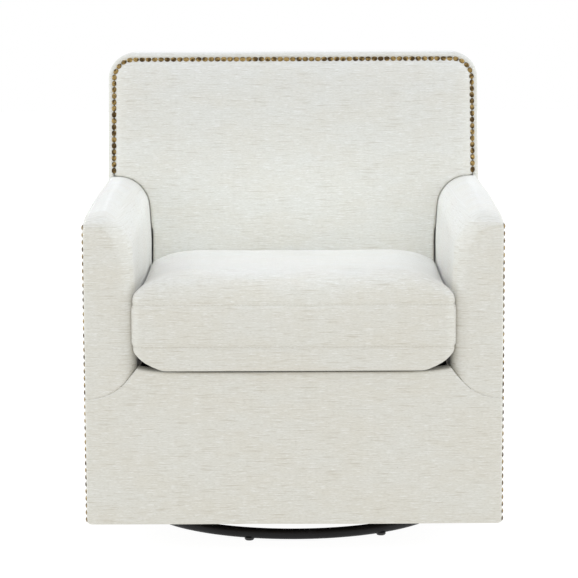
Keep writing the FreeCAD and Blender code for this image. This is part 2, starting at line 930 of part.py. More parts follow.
def make_frame(screws):
    """Builds the wooden frame, and gives back the pieces that the padding is fitted round."""
    inner = frame_inner()
    outer = inner + d.board
    front = -d.front_reach + d.panel + d.post_gap
    behind = front + d.board
    post_in = outer - d.post_wide
    low, high = d.frame_low, d.frame_low + d.rail_tall
    padded = {"left": [], "right": []}
    for name, side in (("left", -1), ("right", 1)):
        near, far = (inner, outer) if side > 0 else (-outer, -inner)
        rail = box(f"side_rail_{name}", (near, behind, low), (far, d.side_rails_end, high))
        finished(cut(f"side_rail_{name}_drilled", rail, [screws]), f"frame_side_{name}")

        near, far = (post_in, outer) if side > 0 else (-outer, -post_in)
        top = d.arm_front_tall - d.arm_padding
        post = box(f"front_post_{name}_block", (near, front, low), (far, behind, top))
        finished(post, f"front_post_{name}")

        near, far = (inner, outer) if side > 0 else (-outer, -inner)
        drop = d.arm_padding + d.arm_rail_tall
        arm = extruded(
            f"arm_rail_{name}_bar",
            "YZ",
            [
                (behind, arm_top(behind) - drop),
                (d.side_rails_end, arm_top(d.side_rails_end) - drop),
                (d.side_rails_end, arm_top(d.side_rails_end) - d.arm_padding),
                (behind, arm_top(behind) - d.arm_padding),
            ],
            near,
            far,
        )
        finished(arm, f"arm_rail_{name}")

        near, far = inner - d.back_post, inner
        near, far = (near, far) if side > 0 else (-far, -near)
        back = post_outline(low, d.back_tall - d.top_rail_high)
        finished(extruded(f"back_post_{name}_bar", "YZ", back, near, far), f"back_post_{name}")
        padded[name] = [post, arm]

    between = inner - d.back_post
    front_rail = box("front_board", (-post_in, front, low), (post_in, behind, d.spring_rail_top))
    finished(front_rail, "frame_front_rail")
    for fillers in padded.values():
        fillers.append(front_rail)
    rails = {
        "frame_rear_rail": (low, high),
        "back_low_rail": (d.spring_rail_top - d.low_rail_tall, d.spring_rail_top),
        "back_top_rail": (d.back_tall - d.top_rail_low, d.back_tall - d.top_rail_high),
    }
    for name, (bottom, top) in rails.items():
        bar = extruded(f"{name}_bar", "YZ", post_outline(bottom, top), -between, between)
        finished(bar, name)
    make_corner_blocks(inner, behind)
    return padded


def post_outline(low, high):
    """The side outline of a piece of the back frame, just inside the outside back."""
    behind = -d.cover - d.back_gap
    return leaning(rear_face, behind - d.back_post_deep, behind, as_size(low), as_size(high))


def make_corner_blocks(inner, behind):
    blocks = []
    low, high = d.frame_low + d.block_low, d.frame_low + d.block_high
    rear = rear_face(low) - d.cover - d.back_post_deep - d.frame_gap
    for side in (-1, 1):
        for y, along in ((behind, d.block), (rear, -d.block)):
            corner = side * inner
            outline = [(corner, y), (corner - side * d.block, y), (corner, y + along)]
            blocks.append(extruded(f"block_{len(blocks)}", "XY", outline, low, high))
    finished(group("block_set", blocks), "corner_blocks")


def spring_path(x, start, height):
    """The middle line of one sinuous spring: cross runs joined by half circles."""
    bend, run = d.spring_bend.value, d.spring_run.value
    edges = []
    y, side = start, 1
    bends = int((spring_end() - start) / (2 * bend))
    for _ in range(bends):
        near, far = x - side * run / 2, x + side * run / 2
        edges.append(Part.LineSegment(Vector(near, y, height), Vector(far, y, height)).toShape())
        tip = Vector(far + side * bend, y + bend, height)
        after = Vector(far, y + 2 * bend, height)
        edges.append(Part.Arc(Vector(far, y, height), tip, after).toShape())
        y, side = y + 2 * bend, -side
    near, far = x - side * run / 2, x + side * run / 2
    edges.append(Part.LineSegment(Vector(near, y, height), Vector(far, y, height)).toShape())
    return Part.Wire(edges)


def spring_end():
    top = d.spring_rail_top
    return (rear_face(top) - d.cover - d.back_post_deep / 2).value


def spring_places():
    count = DIMENSIONS["spring_count"]
    return [d.spring_pitch.value * (number - (count - 1) / 2) for number in range(count)]


def make_springs():
    radius, rail_top = d.spring_wire.value / 2, d.spring_rail_top.value
    wide, long, thick = d.clip_wide.value, d.clip_long.value, d.clip_thick.value
    height = rail_top + thick + radius
    start = (-d.front_reach + d.panel + d.post_gap + d.board / 2).value
    wires, clips = [], []
    for x in spring_places():
        path = spring_path(x, start, height)
        first = path.Edges[0].Vertexes[0].Point
        circle = Part.Circle(first, Vector(1, 0, 0), radius)
        section = Part.Wire(circle.toShape())
        wires.append(path.makePipeShell([section], True, False))
        last = path.Edges[-1].Vertexes[0].Point.y
        for y in (start, last):
            corner = Vector(x - wide / 2, y - long / 2, rail_top)
            clips.append(Part.makeBox(wide, long, thick, corner))
    springs = doc.addObject("Part::Feature", "springs")
    springs.Shape = Part.Compound(wires)
    finished(springs, "seat_springs")
    clip_set = doc.addObject("Part::Feature", "clips")
    clip_set.Shape = Part.Compound(clips)
    finished(clip_set, "spring_clips")


# ---------------------------------------------------------------------------------------------
# Upholstery
# ---------------------------------------------------------------------------------------------


def upright(half, low, corner):
    """The front outline of the whole back above a height, with two equal top corners."""
    return [
        (-half, low),
        (half, low),
        (half, d.back_tall, corner),
        (-half, d.back_tall, corner),
    ]


def make_arms(padded):
    front, behind = -d.front_reach, -d.front_reach + d.panel
    inner, skin = d.arm_inner, d.half_wide - d.cover
    for name, side in (("left", -1), ("right", 1)):
        outer = d.half_wide
        near, far = (skin, outer) if side > 0 else (-outer, -skin)
        rear_low = rear_face(d.skirt_low) - d.cover
        rear_high = rear_face(d.arm_rear_tall) - d.cover
        side_outline = [
            (front, d.skirt_low),
            (rear_low, d.skirt_low),
            (rear_high, d.arm_rear_tall),
            (d.face_low, d.arm_rear_tall),
            (front, d.arm_front_tall),
        ]
        panel = extruded(f"arm_side_{name}_panel", "YZ", side_outline, near, far)
        finished(panel, f"arm_side_{name}")

        face = [
            (side * inner, d.deck_tall),
            (side * (inner + d.mitre_out), d.deck_tall - d.mitre_down),
            (side * (inner + d.mitre_far), d.deck_tall - d.mitre_low),
            (side * skin, d.deck_tall - d.mitre_low - d.mitre_tail),
            (side * skin, d.arm_front_tall),
            (side * inner, d.arm_front_tall, d.arm_round),
        ]
        finished(extruded(f"arm_front_{name}_panel", "XZ", face, front, behind), f"arm_front_{name}")

        finished(make_arm_pad(name, side, padded[name]), f"arm_pad_{name}")


def make_arm_pad(name, side, fillers):
    """The padding of an arm, fitted round its wooden rail and post."""
    inner, skin = d.arm_inner, d.half_wide - d.cover
    start, stop = -d.front_reach + d.panel, back_face(d.back_tall)
    bottom = d.deck_tall - d.arm_pad_low
    above = d.arm_rear_tall + d.arm_pad_rise
    sections = []
    for y in (start, stop):
        top = arm_top(y)
        sections.append(
            (
                y,
                [
                    (side * inner, bottom),
                    (side * skin, bottom),
                    (side * skin, top),
                    (side * inner, top, d.arm_round),
                ],
            )
        )
    whole = lofted(f"arm_pad_{name}_whole", sections)
    reach = [
        (start, bottom),
        (back_face(bottom), bottom),
        (back_face(d.arm_rear_tall), d.arm_rear_tall),
        (back_face(d.arm_rear_tall) - d.wing_gap, above),
        (start, above),
    ]
    near, far = inner - d.spare, skin + d.spare
    near, far = (near, far) if side > 0 else (-far, -near)
    room = extruded(f"arm_pad_{name}_reach", "YZ", reach, near, far)
    return cut(f"arm_pad_{name}_fitted", common(f"arm_pad_{name}_trimmed", whole, room), fillers)


def make_front_panel():
    skin = d.half_wide - d.cover
    half = [
        (skin, d.skirt_low),
        (skin, d.deck_tall - d.mitre_low - d.mitre_tail),
        (d.arm_inner + d.mitre_far, d.deck_tall - d.mitre_low),
        (d.arm_inner + d.mitre_out, d.deck_tall - d.mitre_down),
        (d.arm_inner, d.deck_tall),
    ]
    outline = half + [(-u, v) for u, v in reversed(half)]
    front, behind = -d.front_reach, -d.front_reach + d.panel
    finished(extruded("front_panel_board", "XZ", outline, front, behind), "front_panel")


def make_back():
    wings_low = d.arm_rear_tall + d.wing_gap
    pad_low = d.deck_tall + d.back_pad_gap
    cut_depth = (d.cut_near, d.cut_far)
    line_x = d.half_wide - d.nail_side
    line_top = d.back_tall - d.nail_top
    line_round = d.back_corner - (d.nail_top + d.nail_side) / 2
    inner = d.arm_inner - d.side_play
    tee = [
        (-inner, pad_low),
        (inner, pad_low),
        (inner, wings_low),
        (line_x, wings_low),
        (line_x, line_top, line_round),
        (-line_x, line_top, line_round),
        (-line_x, wings_low),
        (-inner, wings_low),
    ]
    front = extruded("inside_back_front", "XZ", tee, *cut_depth)
    slab = leaning(back_face, as_size(0), d.back_pad, pad_low, d.back_tall + d.spare)
    side = extruded("inside_back_side", "YZ", slab, -line_x - d.spare, line_x + d.spare)
    inside_back = common("inside_back_pad", front, side)
    finished(inside_back, "inside_back")

    rounded = upright(d.half_wide, wings_low, d.back_corner)
    block_front = extruded("border_front", "XZ", rounded, *cut_depth)
    wedge = [
        (back_face(wings_low), wings_low),
        (rear_face(wings_low) - d.cover, wings_low),
        (rear_face(d.back_tall) - d.cover, d.back_tall),
        (back_face(d.back_tall), d.back_tall),
    ]
    wide = d.half_wide + d.spare
    block_side = extruded("border_side", "YZ", wedge, -wide, wide)
    hollow = box(
        "border_hollow",
        (-d.half_wide + d.border_deep, d.cut_near, wings_low - d.spare),
        (d.half_wide - d.border_deep, d.cut_far, d.back_tall - d.border_deep),
    )
    block = common("border_block", block_front, block_side)
    finished(cut("border_cut", block, [inside_back, hollow]), "back_border")

    whole = upright(d.half_wide, d.skirt_low, d.back_corner)
    sheet_front = extruded("outside_back_front", "XZ", whole, *cut_depth)
    skin = leaning(rear_face, -d.cover, as_size(0), d.skirt_low, d.back_tall)
    sheet_side = extruded("outside_back_side", "YZ", skin, -wide, wide)
    finished(common("outside_back_sheet", sheet_front, sheet_side), "outside_back")


def make_deck():
    half = d.arm_inner - d.deck_play
    rear = rear_face(d.deck_tall) - d.cover - d.back_post_deep - d.deck_short
    cloth = box(
        "deck_cloth",
        (-half, -d.front_reach + d.panel, d.deck_tall - d.deck_thick),
        (half, rear, d.deck_tall),
    )
    finished(cloth, "seat_deck")


def cushion_outline(inset):
    """The cushion's side outline, smaller by an inset."""
    low, high = d.deck_tall + d.cushion_play + inset, d.cushion_top - inset
    front = -d.cushion_front + inset
    rear = -d.cushion_rear_play - inset
    curve = d.cushion_round - inset
    return [
        (front, low, curve),
        (back_face(low) + rear, low, d.cushion_rear_round),
        (back_face(high) + rear, high, d.cushion_rear_round),
        (front, high, curve),
    ]


def make_cushion():
    half = d.cushion_half
    outside = extruded("cushion_outside", "YZ", cushion_outline(as_size(0)), -half, half)
    cloth = d.cloth
    inside = extruded("cushion_inside", "YZ", cushion_outline(cloth), cloth - half, half - cloth)
    finished(inside, "cushion_foam")
    finished(cut("cushion_shell", outside, [inside]), "cushion_cover")


# ---------------------------------------------------------------------------------------------
# Decorative nails
# ---------------------------------------------------------------------------------------------


def nail_shape():
    """A dome-headed nail whose head points along +Z and whose head rests on Z = 0."""
    head, dome = d.nail_head.value, d.nail_dome.value
    shank, long = d.nail_shank.value, d.nail_long.value
    sphere = (head**2 + dome**2) / (2 * dome)
    half_angle = math.asin(head / sphere) / 2
    between = Vector(
        sphere * math.sin(half_angle), 0, dome - sphere * (1 - math.cos(half_angle))
    )
    dome_arc = Part.Arc(Vector(head, 0, 0), between, Vector(0, 0, dome)).toShape()
    outline = Part.makePolygon(
        [
            Vector(0, 0, dome),
            Vector(0, 0, -long),
            Vector(shank, 0, d.nail_tip.value - long),
            Vector(shank, 0, 0),
            Vector(head, 0, 0),
        ]
    )
    face = Part.Face(Part.Wire([*outline.Edges, dome_arc]))
    return face.revolve(Vector(), Vector(0, 0, 1), 360)


def nail_set(name, places):
    """One sub-part of separate nails, each put at its own Placement."""
    nail = nail_shape()
    nails = []
    for spot in places:
        copy = nail.copy()
        copy.Placement = spot
        nails.append(copy)
    several = doc.addObject("Part::Feature", f"{name}_set")
    several.Shape = Part.Compound(nails)
    finished(several, name)


def make_arm_nails():
    step = d.nail_step.value
    y = -d.front_reach.value + d.nail_inset.value
    high = (d.arm_front_tall - d.nail_top_gap).value
    low = (d.skirt_low + d.nail_low_gap).value
    count = int((high - low) / step) + 1
    places = []
    for side in (-1, 1):
        turn = Rotation(Vector(0, 1, 0), 90 * side)
        x = side * d.half_wide.value
        places += [Placement(Vector(x, y, high - step * n), turn) for n in range(count)]
    nail_set("arm_nails", places)


def back_nail_line(lean):
    """Points along the back's nail line, as (x, distance up the face from its lower end)."""
    half = d.half_wide.value - d.nail_side.value
    corner = d.back_corner.value - (d.nail_top.value + d.nail_side.value) / 2
    rise = (d.back_tall.value - d.nail_top.value - d.arm_rear_tall.value) / math.cos(lean)
    straight = rise - corner
    quarter = math.pi * corner / 2
    length = straight + quarter + half - corner
    count = round(length / d.nail_step.value)
    step = length / count
    for number in range(count + 1):
        along = step * number
        if along <= half - corner:
            yield along, rise
        elif along <= half - corner + quarter:
            angle = (along - half + corner) / corner
            yield half - corner + corner * math.sin(angle), straight + corner * math.cos(angle)
        else:
            down = along - (half - corner) - quarter
            if straight - down > d.nail_head.value:
                yield half, straight - down


def make_back_nails():
    run = d.face_top.value - d.face_low.value
    lean = math.atan2(run, d.back_tall.value - d.arm_rear_tall.value)
    outward = Vector(0, -math.cos(lean), math.sin(lean))
    upward = Vector(0, math.sin(lean), math.cos(lean))
    turn = Rotation(Vector(0, 0, 1), outward)
    foot = Vector(0, d.face_low.value, d.arm_rear_tall.value)
    places = []
    for x, rise in back_nail_line(lean):
        for side in (-1, 1) if x > 0 else (1,):
            places.append(Placement(foot + upward * rise + Vector(side * x, 0, 0), turn))
    nail_set("back_nails", places)


# ---------------------------------------------------------------------------------------------
# Build, check and write
# ---------------------------------------------------------------------------------------------


def check_document():
    """Stops on any object that failed, and on any sub-part with a bad shape."""
    for thing in doc.Objects:
        if "Invalid" in thing.State or "Error" in thing.State:
            raise RuntimeError(f"{thing.Label} failed: {thing.State}")
    for thing in sub_parts:
        if thing.Shape.isNull() or not thing.Shape.isValid() or not thing.Shape.Solids:
            raise RuntimeError(f"{thing.Label} has a bad shape")


def write_parts():
    os.makedirs("parts", exist_ok=True)
    for old in os.listdir("parts"):
        os.remove(os.path.join("parts", old))
    for thing in sub_parts:
        thing.Shape.exportStep(os.path.join("parts", f"{thing.Label}.step"))


def main():
    hub_top = make_base()
    make_turntable(hub_top)
    make_links()
    screws = make_carriage()
    padded = make_frame(screws)
    make_springs()
    make_arms(padded)
    make_front_panel()
    make_back()
    make_deck()
    make_cushion()
    make_arm_nails()
    make_back_nails()
    doc.recompute()
    check_document()
    write_parts()
    for thing in sub_parts:
        solids = thing.Shape.Solids
        print(thing.Label, len(solids), round(sum(solid.Volume for solid in solids)))


main()
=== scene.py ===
import json
import math
from itertools import product

import bpy
import numpy as np
from mathutils import Euler, Matrix, Vector


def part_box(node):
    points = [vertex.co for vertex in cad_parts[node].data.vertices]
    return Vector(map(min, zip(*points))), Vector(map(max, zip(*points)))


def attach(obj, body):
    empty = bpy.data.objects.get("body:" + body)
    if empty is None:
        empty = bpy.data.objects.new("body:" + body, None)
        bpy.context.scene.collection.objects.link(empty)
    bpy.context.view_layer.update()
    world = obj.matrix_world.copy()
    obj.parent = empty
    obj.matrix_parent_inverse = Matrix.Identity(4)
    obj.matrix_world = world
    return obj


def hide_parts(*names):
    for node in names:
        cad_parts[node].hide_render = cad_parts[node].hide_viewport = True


# Glider nursery chair: upholstery, materials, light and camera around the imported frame.
# Metres throughout. +X is on the right for somebody looking at the chair's front, which faces -Y.

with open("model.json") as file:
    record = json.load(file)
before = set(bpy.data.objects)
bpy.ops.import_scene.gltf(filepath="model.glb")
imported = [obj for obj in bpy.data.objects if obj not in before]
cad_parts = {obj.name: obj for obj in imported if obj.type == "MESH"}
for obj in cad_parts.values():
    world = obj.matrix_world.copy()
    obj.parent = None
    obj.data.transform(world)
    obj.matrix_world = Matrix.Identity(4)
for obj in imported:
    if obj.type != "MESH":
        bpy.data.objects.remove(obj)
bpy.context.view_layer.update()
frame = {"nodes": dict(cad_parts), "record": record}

# ---------------------------------------------------------------------------------------------
# Places that come from the frame
# ---------------------------------------------------------------------------------------------

SIDE_LOW, SIDE_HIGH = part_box("arm_side_right")
FRONT_LOW, FRONT_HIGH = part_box("front_panel")
PAD_LOW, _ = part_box("arm_pad_right")
INSIDE_LOW, INSIDE_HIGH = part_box("inside_back")
BORDER_LOW, BORDER_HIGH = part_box("back_border")
REAR_LOW, REAR_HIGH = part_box("outside_back")
CUSHION_LOW, CUSHION_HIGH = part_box("cushion_cover")
ARM_FRONT_LOW, ARM_FRONT_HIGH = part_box("arm_front_right")

HALF_WIDE = SIDE_HIGH.x  # centre to the outer fabric of an arm
SKIN = SIDE_LOW.x  # centre to the outside of an arm's padding
FRONT = FRONT_LOW.y  # plane of the front panels
SKIRT = FRONT_LOW.z  # bottom edge of the fabric
DECK = FRONT_HIGH.z  # top of the front rail
ARM_INNER = PAD_LOW.x
ARM_FRONT_TOP = ARM_FRONT_HIGH.z
ARM_REAR_TOP = SIDE_HIGH.z
BACK_TOP = REAR_HIGH.z
BACK_PAD = 0.038  # thickness of the inside back
COVER = 0.006  # thickness of the outside panels
CORNER = 0.052  # radius of the back's top corners
NAIL_SIDE = HALF_WIDE - INSIDE_HIGH.x  # side of the back to its nail line
NAIL_TOP = BACK_TOP - INSIDE_HIGH.z  # top of the back to its nail line
NAIL_CORNER = CORNER - (NAIL_SIDE + NAIL_TOP) / 2
NAIL_HEAD = 0.00575  # radius of a nail's head
NAIL_SUNK = 0.0006  # how far the arms' nail heads are pressed into the fabric

FACE_LEAN = (INSIDE_HIGH.y - BACK_PAD - INSIDE_LOW.y) / (INSIDE_HIGH.z - INSIDE_LOW.z)
REAR_LEAN = (REAR_HIGH.y - COVER - REAR_LOW.y) / (REAR_HIGH.z - REAR_LOW.z)
FACE_AT_ARM = INSIDE_LOW.y + (ARM_REAR_TOP - INSIDE_LOW.z) * FACE_LEAN


def back_face(z):
    """How far back the inside back's nailed-down edge is at a height."""
    return INSIDE_LOW.y + (z - INSIDE_LOW.z) * FACE_LEAN


def rear_face(z):
    """How far back the outside back is at a height."""
    return REAR_LOW.y + COVER + (z - REAR_LOW.z) * REAR_LEAN


def arm_line(y):
    """The height of an arm's outer top edge at a depth."""
    return ARM_FRONT_TOP + (y - FRONT) * (ARM_REAR_TOP - ARM_FRONT_TOP) / (FACE_AT_ARM - FRONT)


# ---------------------------------------------------------------------------------------------
# Shapes given as fields: negative inside the padding, zero on its surface
# ---------------------------------------------------------------------------------------------


def ramp(value, start, stop):
    """0 before start, 1 after stop, and smooth between them."""
    t = np.clip((value - start) / (stop - start), 0, 1)
    return t * t * (3 - 2 * t)


def dome(share, power=2):
    """A quarter ellipse: 0 at 0, with an upright start, and 1 from 1 on. More power is boxier."""
    t = 1 - np.clip(share, 0, 1)
    return (1 - t**power) ** (1 / power)


def meet(a, b, radius):
    """Where two faces meet, with the edge rounded to a radius."""
    outside = np.hypot(np.maximum(a + radius, 0), np.maximum(b + radius, 0))
    return np.minimum(np.maximum(a, b), -radius) + outside


def inside_outline(x, z, half, top, corner):
    """How far a point is inside an upright outline with round top corners and no bottom."""
    across, up = np.abs(x) - (half - corner), z - (top - corner)
    reach = np.hypot(np.maximum(across, 0), np.maximum(up, 0))
    return corner - reach - np.minimum(np.maximum(across, up), 0)


def ripple(x, y, z, size, seed):
    """A slow, gentle unevenness between -1 and 1, as in hand-laid wadding."""
    a, b, c = 1.7 * seed, 0.9 * seed + 1, 2.3 * seed + 2
    one = np.sin(x / size + a + 1.3 * np.sin(z / size * 0.7 + b))
    two = np.sin(z / size * 1.1 + c + 1.1 * np.sin(y / size * 0.8 + a))
    three = np.sin(y / size * 0.9 + b + 1.2 * np.sin(x / size * 0.6 + c))
    return (one + two + three) / 3


def net(field, low, high, step):
    """Points and four-sided faces of the closed surface where a field is zero."""
    grid = [np.arange(a - 2 * step, b + 3 * step, step) for a, b in zip(low, high)]
    value = field(*np.meshgrid(*grid, indexing="ij"))
    cells = tuple(n - 1 for n in value.shape)
    total, count = np.zeros(cells + (3,)), np.zeros(cells)

    def corner(offset):
        return value[tuple(slice(o, o + n) for o, n in zip(offset, cells))]

    for axis, offset in product(range(3), product((0, 1), repeat=3)):
        if offset[axis]:
            continue
        far = tuple(1 if k == axis else o for k, o in enumerate(offset))
        a, b = corner(offset), corner(far)
        cross = (a < 0) != (b < 0)
        share = np.where(cross, a / np.where(cross, a - b, 1), 0)
        for k in range(3):
            total[..., k] += cross * (share if k == axis else offset[k])
        count += cross
    used = count > 0
    index = np.full(cells, -1)
    index[used] = np.arange(used.sum())
    points = np.argwhere(used) + total[used] / count[used][:, None]
    points = points * step + [g[0] for g in grid]

    faces = []
    for axis in range(3):
        b, c = (axis + 1) % 3, (axis + 2) % 3
        start = [slice(1, -1)] * 3
        start[axis] = slice(0, -1)
        stop = list(start)
        stop[axis] = slice(1, None)
        first, second = value[tuple(start)], value[tuple(stop)]
        for entering in (True, False):
            spots = np.argwhere((first < 0) > (second < 0) if entering else (first < 0) < (second < 0))
            spots[:, b] += 1
            spots[:, c] += 1
            ring = []
            for back_b, back_c in ((1, 1), (0, 1), (0, 0), (1, 0)):
                cell = spots.copy()
                cell[:, b] -= back_b
                cell[:, c] -= back_c
                ring.append(index[tuple(cell.T)])
            faces.append(np.stack(ring if entering else ring[::-1], axis=1))
    return points, np.concatenate(faces)


def settle(field, points, rounds=3):
    """Moves points on to the surface where a field is zero."""
    reach = 0.0004
    for _ in range(rounds):
        here = field(*points.T)
        slope = np.empty_like(points)
        for axis in range(3):
            shift = np.zeros(3)
            shift[axis] = reach
            slope[:, axis] = (field(*(points + shift).T) - field(*(points - shift).T)) / (2 * reach)
        square = np.maximum((slope**2).sum(axis=1), 0.25)
        move = slope * (here / square)[:, None]
        length = np.linalg.norm(move, axis=1, keepdims=True)
        points = points - move * np.minimum(1, 0.002 / np.maximum(length, 1e-9))
    return points


def mesh_object(name, points, faces):
    mesh = bpy.data.meshes.new(name)
    mesh.from_pydata([tuple(p) for p in points], [], [tuple(f) for f in faces])
    mesh.validate()
    mesh.polygons.foreach_set("use_smooth", [True] * len(mesh.polygons))
    thing = bpy.data.objects.new(name, mesh)
    bpy.context.scene.collection.objects.link(thing)
    return thing


def padding(name, field, low, high, step):
    """A padded piece whose surface is where a field is zero."""
    points, faces = net(field, low, high, step)
    return mesh_object(name, settle(field, points).tolist(), faces.tolist())


# ---------------------------------------------------------------------------------------------
# Materials
# ---------------------------------------------------------------------------------------------


class Recipe:
    """A material's nodes, put together one call at a time."""

    def __init__(self, name, colour, roughness, metallic=0.0, **sockets):
        self.material = bpy.data.materials.new(name)
        self.material.use_nodes = True
        self.tree = self.material.node_tree
        self.shader = self.tree.nodes["Principled BSDF"]
        self.shader.inputs["Base Color"].default_value = (*colour, 1)
        self.shader.inputs["Roughness"].default_value = roughness
        self.shader.inputs["Metallic"].default_value = metallic
        for socket, value in sockets.items():
            self.shader.inputs[socket.replace("_", " ")].default_value = value
        self.place = self.tree.nodes.new("ShaderNodeTexCoord").outputs["Object"]

    def plug(self, value, socket):
        if hasattr(value, "is_linked"):
            self.tree.links.new(value, socket)
        else:
            socket.default_value = value

    def math(self, operation, a, b=0.0):
        node = self.tree.nodes.new("ShaderNodeMath")
        node.operation = operation
        self.plug(a, node.inputs[0])
        self.plug(b, node.inputs[1])
        return node.outputs[0]

    def stretched(self, vector, scale):
        node = self.tree.nodes.new("ShaderNodeMapping")
        self.plug(vector, node.inputs["Vector"])
        node.inputs["Scale"].default_value = scale
        return node.outputs[0]

    def noise(self, vector, scale, detail=2.0, roughness=0.5):
        node = self.tree.nodes.new("ShaderNodeTexNoise")
        self.plug(self.stretched(vector, scale), node.inputs["Vector"])
        node.inputs["Scale"].default_value = 1
        node.inputs["Detail"].default_value = detail
        node.inputs["Roughness"].default_value = roughness
        return node.outputs["Fac"]

    def between(self, value, low, high, out_low=0.0, out_high=1.0):
        node = self.tree.nodes.new("ShaderNodeMapRange")
        node.interpolation_type = "SMOOTHSTEP"
        self.plug(value, node.inputs["Value"])
        for socket, number in zip(node.inputs[1:5], (low, high, out_low, out_high)):
            socket.default_value = number
        return node.outputs[0]

    def mixed(self, share, a, b):
        node = self.tree.nodes.new("ShaderNodeMix")
        node.data_type = "RGBA"
        self.plug(share, node.inputs[0])
        self.plug(a if hasattr(a, "is_linked") else (*a, 1), node.inputs[6])
        self.plug(b if hasattr(b, "is_linked") else (*b, 1), node.inputs[7])
        return node.outputs[2]

    def colour(self, value):
        self.plug(value, self.shader.inputs["Base Color"])

    def roughness(self, value):
        self.plug(value, self.shader.inputs["Roughness"])

    def bump(self, height, depth, strength=1.0):
        node = self.tree.nodes.new("ShaderNodeBump")
        node.inputs["Distance"].default_value = depth
        node.inputs["Strength"].default_value = strength
        self.plug(height, node.inputs["Height"])
        self.plug(node.outputs[0], self.shader.inputs["Normal"])


def cloth_plane(recipe):
    """Coordinates in the cloth: along its weft, which runs level, and across it."""
    nodes, links = recipe.tree.nodes, recipe.tree.links
    place, normal = nodes.new("ShaderNodeSeparateXYZ"), nodes.new("ShaderNodeSeparateXYZ")
    source = nodes.new("ShaderNodeTexCoord")
    links.new(source.outputs["Object"], place.inputs[0])
    links.new(source.outputs["Normal"], normal.inputs[0])
    slanted = 0.75  # cosine past which a face counts as sideways or level
    sideways = recipe.math("GREATER_THAN", recipe.math("ABSOLUTE", normal.outputs[0]), slanted)
    level = recipe.math("GREATER_THAN", recipe.math("ABSOLUTE", normal.outputs[2]), slanted)
    x, y, z = place.outputs

    def either(choice, when_off, when_on):
        change = recipe.math("MULTIPLY", choice, recipe.math("SUBTRACT", when_on, when_off))
        return recipe.math("ADD", when_off, change)

    plane = nodes.new("ShaderNodeCombineXYZ")
    links.new(either(sideways, x, y), plane.inputs[0])
    links.new(either(level, z, y), plane.inputs[1])
    return plane.outputs[0]


def ivory_fabric():
    """Linen-look weave: level slubs, warm and cool threads, a few dark flecks, a soft sheen."""
    recipe = Recipe(
        "ivory_fabric",
        (0.64, 0.625, 0.57),
        0.9,
        Sheen_Weight=0.35,
        Sheen_Roughness=0.45,
        Sheen_Tint=(1.0, 1.0, 1.0, 1.0),
        Specular_IOR_Level=0.25,
    )
    plane = cloth_plane(recipe)
    threads = recipe.noise(plane, (160, 900, 1), 2, 0.6)
    slubs = recipe.noise(plane, (48, 560, 1), 3, 0.6)
    long_slubs = recipe.noise(plane, (22, 420, 1), 2, 0.5)
    warp = recipe.noise(plane, (800, 90, 1), 2, 0.5)
    clouds = recipe.noise(plane, (7, 16, 1), 3, 0.6)
    flecks = recipe.noise(plane, (210, 620, 1), 1, 0.4)
    warm, cool = (0.640, 0.620, 0.548), (0.648, 0.638, 0.578)
    pale, straw = (0.755, 0.75, 0.71), (0.49, 0.455, 0.375)
    shade, speck = (0.50, 0.48, 0.41), (0.22, 0.19, 0.15)
    ground = recipe.mixed(recipe.between(clouds, 0.35, 0.65), warm, cool)
    lighter = recipe.mixed(recipe.between(slubs, 0.50, 0.70, 0.0, 0.85), ground, pale)
    darker = recipe.mixed(recipe.between(long_slubs, 0.55, 0.74, 0.0, 0.75), lighter, straw)
    fine = recipe.mixed(recipe.between(threads, 0.42, 0.72, 0.0, 0.50), darker, shade)
    recipe.colour(recipe.mixed(recipe.between(flecks, 0.76, 0.84, 0.0, 0.6), fine, speck))
    recipe.roughness(recipe.between(slubs, 0.3, 0.7, 0.94, 0.82))
    weft = recipe.math("MULTIPLY", threads, 0.6)
    weave = recipe.math("ADD", weft, recipe.math("MULTIPLY", warp, 0.35))
    recipe.bump(recipe.math("ADD", weave, recipe.math("MULTIPLY", slubs, 0.7)), 0.0007, 0.5)
    return recipe.material


def painted(name, colour, roughness, shine=0.5):
    """Satin paint over steel, with faint orange peel."""
    recipe = Recipe(name, colour, roughness, Specular_IOR_Level=shine)
    peel = recipe.noise(recipe.place, (420, 420, 420), 2, 0.5)
    wear = recipe.noise(recipe.place, (35, 35, 35), 4, 0.6)
    worn = tuple(c * 1.9 + 0.002 for c in colour)
    recipe.colour(recipe.mixed(recipe.between(wear, 0.52, 0.75), colour, worn))
    recipe.roughness(recipe.between(wear, 0.3, 0.7, roughness - 0.06, roughness + 0.10))
    recipe.bump(peel, 0.0002, 0.3)
    return recipe.material


def moulded(name, colour, roughness):
    """Moulded plastic or rubber with a fine grain."""
    recipe = Recipe(name, colour, roughness)
    grain = recipe.noise(recipe.place, (900, 900, 900), 2, 0.6)
    dust = recipe.noise(recipe.place, (60, 60, 60), 3, 0.6)
    dusty = tuple(c + 0.03 for c in colour)
    recipe.colour(recipe.mixed(recipe.between(dust, 0.5, 0.8), colour, dusty))
    recipe.bump(grain, 0.0002, 0.4)
    return recipe.material


def bare_metal(name, colour, roughness, stretch):
    """Bare metal with drawn or rolled streaks along one axis."""
    recipe = Recipe(name, colour, roughness, 1.0)
    streaks = recipe.noise(recipe.place, stretch, 3, 0.6)
    stain = recipe.noise(recipe.place, (30, 30, 30), 4, 0.6)
    darker = tuple(c * 0.6 for c in colour)
    recipe.colour(recipe.mixed(recipe.between(stain, 0.45, 0.75), colour, darker))
    recipe.roughness(recipe.between(streaks, 0.3, 0.7, roughness - 0.1, roughness + 0.12))
    recipe.bump(streaks, 0.0001, 0.4)
    return recipe.material


